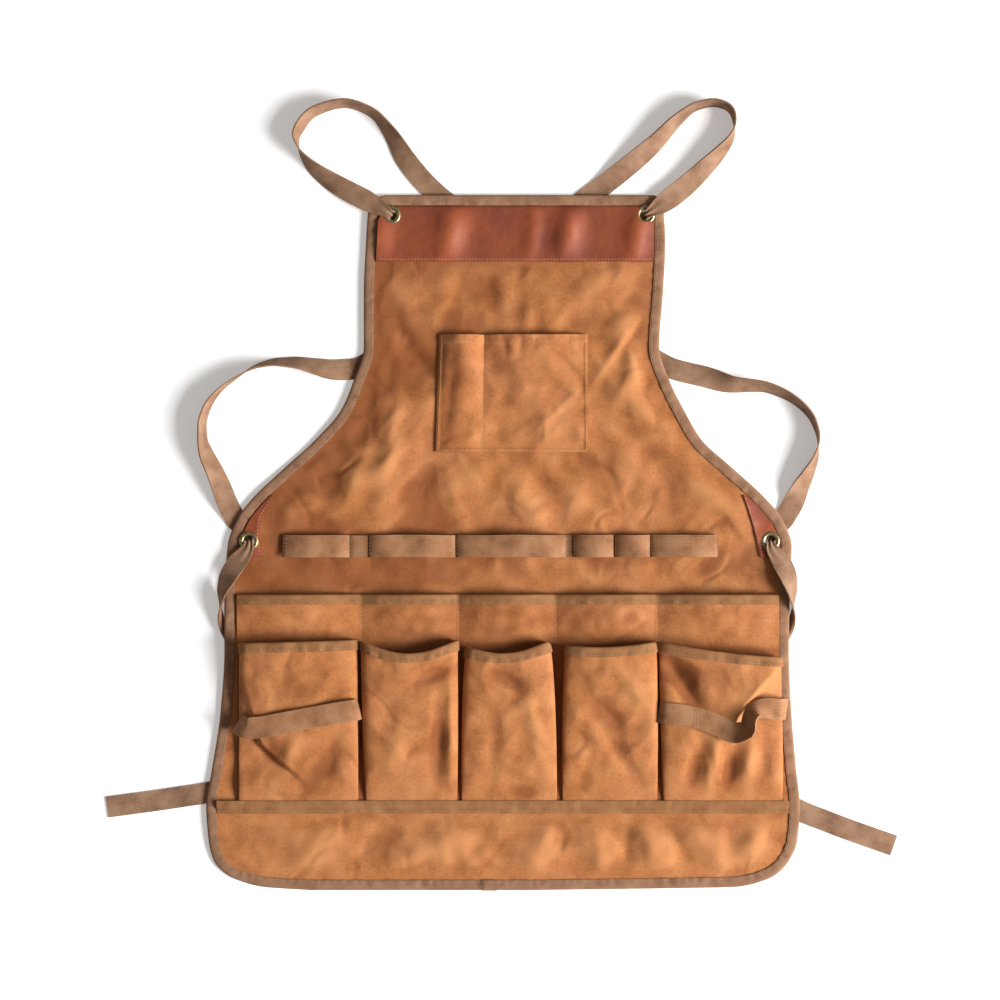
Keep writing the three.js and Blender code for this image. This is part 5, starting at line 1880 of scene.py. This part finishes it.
@dataclass
class BaseTape:
    """Tape over the bottom edges of the pockets, stepping down to the panel."""

    name: str = "pocket_base_tape"
    top: float = -304.5
    bottom: float = -317.5
    left: float = -283.6
    right: float = 287.6
    columns: int = 260
    rows: int = 15
    step_down: tuple[float, float] = (-313.5, -309.5)
    turned_in: float = 3.0
    pucker: float = 0.3
    pucker_size: float = 7.0
    pucker_length: float = 0.5
    pucker_rise: float = 0.25
    pucker_painted_shade: float = 2.0
    deeper: float = 0.4
    dent: Fold = Fold(23, -306, 90, 8, 5, -1.2)

    def build(self, finishes: Finishes) -> list[Piece]:
        """Model the tape and dress it.

        Args:
            finishes: The finishes.

        Returns:
            The tape.
        """
        x, y = np.meshgrid(np.linspace(self.left, self.right, self.columns),
                           np.linspace(self.bottom, self.top, self.rows))
        over_pockets = UPPER.over(x, y) + SEAM + CANVAS + 3 * SEAM
        over_panel = LAY.over(x, y) + LOOSE_SEAM
        pucker = self.pucker * PUCKERING(x, y * self.pucker_length, self.pucker_size) + self.pucker_rise
        dent = self.dent.height(x, y)
        height = lerp(over_panel, over_pockets, smoothstep(y, *self.step_down)) + np.maximum(pucker + dent, 0.0)
        places = np.stack([x, y, height], axis=2)
        # Painted shade in the puckers' and the dent's hollows
        obj = Bench.sheet(places, places[:, :, :2], pucker * self.pucker_painted_shade - self.deeper + dent)
        Bench.thicken(obj, TAPE, Growth.OUTWARDS)
        enrol(obj, Slot.TAPE, finishes.pocket_tape, self.name)
        (self.right - self.left) * MM
        return [obj]


Route = tuple[tuple[float, ...], ...]

# Width of the webbing where it lies flat, and where it is gathered in an eyelet
FULL = 21.0
HOLE = 7.5


@dataclass
class Ribbon:
    """Webbing along a route of rows: x, y, height of its lowest edge, roll in degrees, and width if not full."""

    nodes: tuple[str, ...]
    route: Route
    step: float = 2.6
    columns: int = 11
    pleat: float = 1.6
    pleats: int = 2
    pleat_painted_shade: float = 0.6
    narrow_painted_shade: float = 0.35

    def build(self, material: Material, rests_on: Sequence[str], held: Hold) -> Piece:
        """Model the webbing and dress it.

        Args:
            material: Its finish.
            rests_on: What it lies on; not used.
            held: How it is held; not used.

        Returns:
            The webbing.
        """
        rows = np.array([(*row, FULL)[:5] for row in self.route], float)
        run = run_lengths(rows[:, :3])
        places = np.linspace(0.0, run[-1], int(run[-1] / self.step))
        x, y, rest, roll, wide = (Curve(run, column)(places) for column in rows.T)
        roll = np.radians(roll)
        height = rest + wide / 2 * np.abs(np.sin(roll)) + WEBBING / 2 * np.abs(np.cos(roll))
        middle = np.stack([x, y, height], axis=1)
        tangent = unit(np.gradient(middle, axis=0))
        heading = unit(tangent * [1.0, 1.0, 0.0])
        right = np.stack([heading[:, 1], -heading[:, 0], np.zeros(len(x))], axis=1)
        up = np.cross(right, tangent)
        turn, lean = np.cos(roll)[:, None], np.sin(roll)[:, None]
        width = right * turn + up * lean
        gauge = up * turn - right * lean
        narrow = np.clip(1.0 - wide / FULL, 0.0, 1.0)[:, None]
        across = np.linspace(-0.5, 0.5, self.columns)
        columns, reliefs = [], []
        for share in across:
            pleat = self.pleat * narrow * math.cos(2 * math.pi * self.pleats * share)
            columns.append(middle + width * (share * wide[:, None]) + gauge * pleat)
            # Painted shade in the pleats' folds and where the webbing is gathered narrow into an eyelet
            reliefs.append((np.minimum(pleat, 0.0) * self.pleat_painted_shade - narrow * self.narrow_painted_shade)[:, 0])
        points = np.stack(columns, axis=1)
        points[:, :, 2] = np.maximum(points[:, :, 2], WEBBING / 2)
        length = run_lengths(points[:, self.columns // 2])
        obj = Bench.sheet(points, band_of(length, across * FULL), np.stack(reliefs, axis=1))
        Bench.thicken(obj, WEBBING, Growth.BOTH)
        enrol(obj, Slot.WEBBING, material, *self.nodes)
        return obj


BAND_LEFT: Route = (
    (-141.2, -212, 15, 0), (-143.6, -212.6, 24.6, 0), (-156, -214.5, 27.4, 0),
    (-182, -219, 27.4, 0), (-216, -225.4, 27.4, 0), (-242, -230, 27, 0),
    (-252, -230.6, 26, 0), (-258, -228.6, 21.5, 0), (-261, -226.8, 15, 0),
    (-262.2, -226, 8.5, 0),
)
BAND_RIGHT: Route = (
    (157, -215.5, 14, 0), (158.8, -215.8, 19.6, 0), (162.6, -216.2, 23, 0),
    (172, -216.8, 24.8, 0), (192, -220, 25.5, 0), (215, -228, 25.6, 0),
    (232, -235, 26.4, 14), (243.5, -232, 27.5, 46), (245.5, -221, 27.5, 54),
    (252, -211.5, 27.5, 44), (264, -211, 27.5, 14), (275, -212, 26, 0),
    (281.6, -212.6, 17, 0), (284.5, -213, 8.4, 0),
)
STRAP_LEFT: Route = (
    (-83, 266.5, 0, 0), (-97, 273.5, 0, 0, 17), (-105.5, 277.8, 0, 0, 8.5), (-108.6, 279.5, 1, 0, HOLE),
    (-109.5, 280, 4.2, 0, HOLE), (-110.4, 280.5, 8.6, 0, HOLE), (-114.5, 283, 9.8, 0, 11),
    (-124, 288.5, 8.6, 2, 17), (-137, 295.5, 6.8, 8), (-156, 305.5, 3, 22),
    (-176, 318, 0, 44), (-192, 331.5, 0, 66), (-202, 346.5, 0, 90),
    (-204.5, 357.5, 0, 104), (-200, 368.5, 0, 112), (-186, 383, 0, 110),
    (-156, 391, 0, 107), (-129, 382, 0, 110), (-110, 360.5, 0, 128),
    (-95, 335.5, 0, 160), (-72, 308.5, 0, 180), (-41, 282.5, 0, 180),
    (19, 237, 0, 180), (89, 184, 0, 180), (139, 146, 0, 180), (171, 127, 0, 180),
    (204, 118.5, 0, 172), (234, 110.5, 0, 134), (259, 109, 0, 118),
    (282, 101.5, 0, 111), (301, 88.5, 0, 105), (312, 73.5, 0, 99),
    (316.5, 55.5, 0, 90), (314, 39.5, 0, 73), (307, 23.5, 0, 55), (299, 8.5, 0, 35),
    (291.5, -8.5, 0, 8), (282.5, -23.5, 0, 0), (274, -36, 0, 0, 13), (270.4, -42, 0, 0, 8.5),
    (269.3, -44.5, 1, 0, HOLE), (269, -45.5, 4, 0, HOLE), (268.8, -46.5, 8, 0, HOLE),
    (269.6, -51.5, 9.4, 2, 11), (275, -60, 9.2, 8, 16), (281, -69.5, 8, 18, 20), (286.5, -82.5, 7, 36),
    (290.6, -98.5, 2.5, 62, 19), (291.4, -113, 0, 88, 14), (290, -126, 0, 128, 10), (284, -140, 0, 168, 10),
    (271, -159.5, 0, 180, 17), (256, -194.5, 0, 180), (251, -239.5, 0, 180),
    (262, -282.5, 0, 180), (289, -309.5, 0, 180), (329, -327, 0, 180),
    (392.6, -350, 0, 180),
)
STRAP_RIGHT: Route = (
    (118, 266.5, 0, 0), (131.5, 273.4, 0, 0, 17), (140, 277.8, 0, 0, 8.5), (143.3, 279.5, 1, 0, HOLE),
    (144.2, 280, 4.2, 0, HOLE), (145.1, 280.5, 8.6, 0, HOLE), (149.5, 283, 9.8, 0, 11),
    (158, 288.5, 8.6, -2, 17), (170, 297.5, 6, -8), (185, 309.5, 2.4, -20),
    (203, 326.5, 0, -38), (220, 344, 0, -58), (230, 358, 0, -75), (233, 370, 0, -90),
    (231.5, 380, 0, -97), (225, 388, 0, -102), (212, 391.5, 0, -104),
    (196, 388.5, 0, -106), (177, 375.5, 0, -118), (152, 350, 0, -140),
    (122, 325, 0, -164), (93, 303, 0, -180), (64, 281, 0.2, -180),
    (29, 254.3, 1.9, -180), (12.5, 241.7, 1.9, -180), (-4, 229.2, 1.9, -180),
    (-40, 202, 0.2, -180), (-98, 158, 0, -180), (-128, 136, 0, -180),
    (-147, 126.5, 0, -180), (-166, 125.5, 0, -196), (-186, 129, 0, -222),
    (-206, 132.5, 0, -238), (-222, 133, 0, -247), (-240, 130, 0, -256),
    (-264, 117.5, 0, -270), (-282, 103.5, 0, -277), (-293, 88, 0, -284),
    (-298, 70, 0, -287), (-297.5, 55.5, 0, -291), (-294, 42, 0, -306),
    (-286.5, 26, 0, -318), (-279.5, 10, 0, -328), (-274, -6, 0, -345),
    (-265.5, -23.5, 0, -360), (-257, -36, 0, -360, 13), (-253, -42, 0, -360, 8.5),
    (-251.8, -44.5, 1, -360, HOLE), (-251.5, -45.5, 4, -360, HOLE), (-251.3, -46.5, 8, -360, HOLE),
    (-252.2, -51.5, 9.4, -362, 11), (-257.5, -60, 9.2, -368, 16), (-265, -69.5, 8, -378, 20),
    (-272.5, -82.5, 7.6, -396), (-278.6, -98.5, 3.2, -422, 19), (-279.8, -113, 0, -448, 14),
    (-278.6, -126, 0, -488, 10), (-272.5, -140, 0, -528, 10), (-259, -159.5, 0, -540, 17),
    (-244, -194.5, 0, -540), (-240, -234, 0, -540), (-253, -273, 0, -540),
    (-284, -294.5, 0, -540), (-322, -301.5, 0, -540), (-393.7, -311.5, 0, -540),
)


@dataclass
class Webbing:
    """The two bands over the outer pockets and the two straps."""

    bands: tuple[Ribbon, ...] = field(default_factory=lambda: (
        Ribbon(("pocket_band_left",), BAND_LEFT), Ribbon(("pocket_band_right",), BAND_RIGHT)))
    band_pockets: tuple[int, ...] = (1, 5)
    straps: tuple[Ribbon, ...] = field(default_factory=lambda: (
        Ribbon(("strap_left_shoulder", "strap_right_waist", "strap_right_tail"), STRAP_LEFT),
        Ribbon(("strap_right_shoulder", "strap_left_waist", "strap_left_tail"), STRAP_RIGHT)))

    def build(self, finishes: Finishes) -> list[Piece]:
        """Model all four lengths of webbing and dress them.

        Args:
            finishes: The finishes.

        Returns:
            The webbing.
        """
        made = [band.build(finishes.loop, [f"front_pocket_{number}"], Hold.FOLDED)
                for band, number in zip(self.bands, self.band_pockets)]
        made.extend(strap.build(finishes.strap, ["leather_yoke", "edge_binding"], Hold.LAID)
                    for strap in self.straps)
        return made


@dataclass
class Stitching:
    """Rows of stitches, laid on the surface that lies under them."""

    segments: int = 6
    rings: int = 5
    length: float = 2.4
    pitch: float = 3.4
    thick: float = 0.6
    flat: float = 0.8
    proud: float = 0.12
    jitter: float = 0.12
    length_jitter: float = 0.06
    above: float = 200.0
    seed_step: int = 17

    def __post_init__(self) -> None:
        """Model one stitch, from which all others are copied."""
        Bench.clear()
        bpy.ops.mesh.primitive_uv_sphere_add(segments=self.segments, ring_count=self.rings, radius=0.5)
        seed = Bench.named("stitch")
        bpy.ops.object.mode_set(mode="EDIT")
        bpy.ops.mesh.select_all(action="SELECT")
        bpy.ops.transform.rotate(value=math.pi / 2, orient_axis="Y", center_override=(0, 0, 0))
        bpy.ops.object.mode_set(mode="OBJECT")
        points = np.array([tuple(v.co) for v in seed.data.vertices])
        order = np.lexsort(points.round(4).T)
        rank = np.argsort(order).tolist()
        self.points = points[order]
        self.faces = sorted(self._started([rank[k] for k in face.vertices]) for face in seed.data.polygons)
        bpy.data.objects.remove(seed, do_unlink=True)

    @staticmethod
    def _started(face: list[int]) -> tuple[int, ...]:
        """Start a face at its lowest corner, because the operator's own order differs from run to run."""
        first = face.index(min(face))
        return (*face[first:], *face[:first])

    def lay(self, name: str, rows: Sequence[Array], carrier: Piece, thread: Material) -> Piece:
        """Lay rows of stitches on their carrier.

        Args:
            name: Name of the object.
            rows: Paths seen from above, in millimetres.
            carrier: The piece that they are sewn through.
            thread: The thread's finish.

        Returns:
            The stitches as one object.
        """
        tree = BVHTree.FromPolygons([v.co.copy() for v in carrier.data.vertices],
                                    [tuple(face.vertices) for face in carrier.data.polygons])
        draw = np.random.default_rng(len(name) * self.seed_step + len(rows))
        points, faces = [], []
        for row in rows:
            path = resampled(np.asarray(row, float), self.pitch)
            for a, b in zip(path[:-1], path[1:]):
                spot = (a + b) / 2 + draw.normal(0.0, self.jitter, 2)
                start = Vector((spot[0] * MM, spot[1] * MM, self.above * MM))
                place, normal, _, _ = tree.ray_cast(start, Vector((0, 0, -1)))
                if place is None:
                    continue
                normal = normal if normal.z > 0 else -normal
                run = Vector((b[0] - a[0], b[1] - a[1], 0.0))
                run = (run - normal * run.dot(normal)).normalized()
                length = self.length * (1 + draw.normal(0.0, self.length_jitter))
                size = np.array([length, self.thick, self.thick * self.flat]) * MM
                turned = np.array(Matrix((run, normal.cross(run), normal)).transposed())
                base = len(points) * len(self.points)
                points.append((self.points * size) @ turned.T + np.array(place + normal * self.proud * MM))
                faces.extend(tuple(base + k for k in face) for face in self.faces)
        mesh = bpy.data.meshes.new(name)
        mesh.from_pydata(np.concatenate(points).tolist(), [], faces)
        obj = bpy.data.objects.new(name, mesh)
        bpy.context.scene.collection.objects.link(obj)
        Bench.only(obj)
        bpy.ops.object.shade_smooth()
        enrol(obj, Slot.TAPE, thread)
        return obj


# One seam: its name, its rows of stitches, the node that carries them, and the thread
Seam = tuple[str, list[Array], str, Thread]


def straight(x: float, y: float, to_x: float, to_y: float) -> Array:
    """Straight row from one place to another."""
    return np.array([[x, y], [to_x, to_y]])


@dataclass
class Seams:
    """Where the stitches run."""

    binding_inset: float = 7.2
    twin: float = 2.6
    edge: float = 1.8
    pocket_edge: float = 1.9
    tape_edge: float = 2.0
    hem_edge: float = 1.6
    end: float = 1.0
    patch_end: float = 1.5
    foot_end: float = 2.0
    divider: Span = (11.0, 60.0)
    lip_stand: float = 0.9
    rim_step: float = 2.0
    rim_start: float = -17.0
    patch_places: int = 20
    side_places: int = 30
    lip_places: int = 60
    yoke_row: tuple[float, float, float, float] = (-121.5, 235.8, 150.0, 235.8)
    band_tack: tuple[float, float, float, float] = (191.0, -230.0, 192.5, -211.0)

    def build(self, finishes: Finishes) -> list[Piece]:
        """Sew every seam that shows.

        Args:
            finishes: The finishes.

        Returns:
            The seams.
        """
        sew = Stitching()
        seams = [*self._edges(), *self._bib(), *self._lower(), *self._webbing()]
        return [sew.lay(name, rows, MADE[carrier], getattr(finishes, thread.value))
                for name, rows, carrier, thread in seams]

    def _edges(self) -> Iterator[Seam]:
        """Seams of the rim, of the yoke and along the inner edges of the corner patches.

        Returns:
            The seams.
        """
        rim = LAY.rim(self.rim_step, self.rim_start, 0.0)
        inner = rim + leftwards(unit(np.gradient(rim, axis=0))) * self.binding_inset
        yield "edge_binding_stitches", [inner], "edge_binding", Thread.BROWN
        yield "yoke_stitches", [straight(*self.yoke_row)], "leather_yoke", Thread.PALE
        for name, inwards, inner in LeatherTrim().patches:
            y = np.linspace(inner[0][0] - self.patch_end, inner[-1][0] + self.patch_end, self.patch_places)
            row = np.stack([Curve.through(inner, 1)(y) - self.edge * inwards, y], axis=1)
            yield f"{name}_stitches", [row], name, Thread.PALE

    def _bib(self) -> Iterator[Seam]:
        """Seams of the chest pocket's edges, its divider and its hem.

        Returns:
            The seams.
        """
        pocket = BibPocket()
        down = np.linspace(0.0, 1.0, self.side_places)
        foot = pocket.foot + self.edge
        y = lerp(pocket.mouth - self.end, foot, down)
        left, right = pocket.side(down)
        across = (left + self.pocket_edge, right - self.pocket_edge, lerp(left, right, pocket.divide))
        rows = [np.stack([x, y], axis=1) for x in across]
        rows.append(straight(pocket.foot_left + self.foot_end, foot, pocket.foot_right - self.foot_end, foot))
        yield "bib_pocket_stitches", rows, pocket.name, Thread.PALE
        hem = pocket.mouth - pocket.hem + self.hem_edge
        row = straight(pocket.left + self.end, hem, pocket.right - self.end, hem)
        yield "bib_pocket_hem_stitches", [row], pocket.name, Thread.BROWN

    def _lower(self) -> Iterator[Seam]:
        """Seams of the lower pockets' bindings, their dividers and the base tape.

        Returns:
            The seams.
        """
        mouth, stitches = UPPER.mouth, UPPER.stitches
        low = mouth - self.binding_inset
        row = straight(stitches[0] + self.end, low, stitches[-1] - self.end, low)
        yield "upper_pocket_stitches", [row], "upper_pocket_binding_1", Thread.BROWN
        dividers = [straight(x, mouth - self.divider[0], x, mouth - self.divider[1]) for x in stitches[1:-1]]
        yield "upper_pocket_dividers", dividers, UPPER.name, Thread.PALE
        for pocket in FrontPockets().pockets:
            share, stand = pocket.profile(self.lip_places)
            down = np.full(1, self.binding_inset / pocket.depth)
            lip, _ = pocket.surface(share[None], stand[None], down, np.zeros(1))
            shown = lip[0, stand > self.lip_stand, :2]
            yield (f"front_pocket_stitches_{pocket.number}", [shown], f"front_pocket_binding_{pocket.number}",
                   Thread.BROWN)
        tape = BaseTape()
        rows = [straight(tape.left + self.end, y, tape.right - self.end, y)
                for y in (tape.top - self.tape_edge, tape.bottom + self.tape_edge)]
        yield "pocket_base_stitches", rows, tape.name, Thread.BROWN

    def _webbing(self) -> Iterator[Seam]:
        """Tacks of the loop strip and of the right band.

        Returns:
            The seams.
        """
        loops = ToolLoops()
        half = loops.wide / 2 - self.tape_edge
        rows = [straight(x + offset, loops.y - half, x + offset, loops.y + half)
                for x in loops.tacks() for offset in (-self.twin / 2, self.twin / 2)]
        yield "tool_loop_tacks", rows, loops.name, Thread.BROWN
        rows = [straight(*self.band_tack) + [offset, 0.0] for offset in (0.0, self.twin)]
        yield "pocket_band_tacks", rows, "pocket_band_right", Thread.BROWN


@dataclass
class Studio:
    """Pale floor, soft light and a camera straight above."""

    camera_height: float = 3.0
    frame_side: float = 1.0
    centre: tuple[float, float] = (-0.001, -0.0045)
    sensor: float = 36.0
    view_end: float = 50.0
    floor_side: float = 40.0
    key_azimuth: float = -16.0
    key_elevation: float = 31.0
    key_distance: float = 5.0
    key_side: float = 2.2
    key_power: float = 520.0
    fill_strength: float = 0.22
    fill_tint: Colour = (1.0, 0.93, 0.86, 1.0)

    def build(self, finishes: Finishes) -> None:
        """Set the stage.

        Args:
            finishes: The finishes.
        """
        scene = bpy.context.scene
        Bench.clear()
        bpy.ops.object.camera_add(location=(*self.centre, self.camera_height), rotation=(0.0, 0.0, 0.0))
        camera = bpy.context.object
        camera.name = "camera"
        camera.data.sensor_width = self.sensor
        camera.data.lens = self.sensor * self.camera_height / self.frame_side
        camera.data.clip_end = self.view_end
        scene.camera = camera
        bpy.ops.mesh.primitive_plane_add(size=self.floor_side, location=(0.0, 0.0, 0.0))
        floor = Bench.named("floor")
        floor.data.materials.append(finishes.floor)
        floor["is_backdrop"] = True
        azimuth, elevation = math.radians(self.key_azimuth), math.radians(self.key_elevation)
        towards = Vector((math.cos(azimuth) * math.cos(elevation), math.sin(azimuth) * math.cos(elevation),
                          math.sin(elevation)))
        bpy.ops.object.light_add(type="AREA", location=towards * self.key_distance)
        key = bpy.context.object
        key.name = "key_light"
        key.data.size = self.key_side
        key.data.energy = self.key_power
        key.rotation_euler = (0.0, math.pi / 2 - elevation, azimuth)
        scene.world = bpy.data.worlds.new("soft_room")
        scene.world.use_nodes = True
        background = scene.world.node_tree.nodes["Background"]
        background.inputs["Color"].default_value = self.fill_tint
        background.inputs["Strength"].default_value = self.fill_strength
        scene.view_settings.view_transform = "Standard"


def write_sizes() -> None:
    """Work out the box of the CAD model and of the dressed model.
    """
    boxes = {"cad": CAD_BOX, "visual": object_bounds()}
    plain = {name: [list(corner) for corner in box] for name, box in boxes.items()}


def main() -> None:
    """Build the apron piece by piece and light it."""
    logging.basicConfig(level=logging.INFO, format="%(name)s: %(message)s")
    finishes = Finishes()
    Studio().build(finishes)
    for part in (Panel(), EdgeBinding(), LeatherTrim(), EYELETS, BibPocket(), ToolLoops(), UPPER, FrontPockets(),
                 BaseTape(), Webbing(), Seams()):
        for piece in part.build(finishes):
            LOG.info("%s: %d faces, %s", piece.name, len(piece.data.polygons), piece.data.materials[0].name)
    write_sizes()


if __name__ == "__main__":
    main()
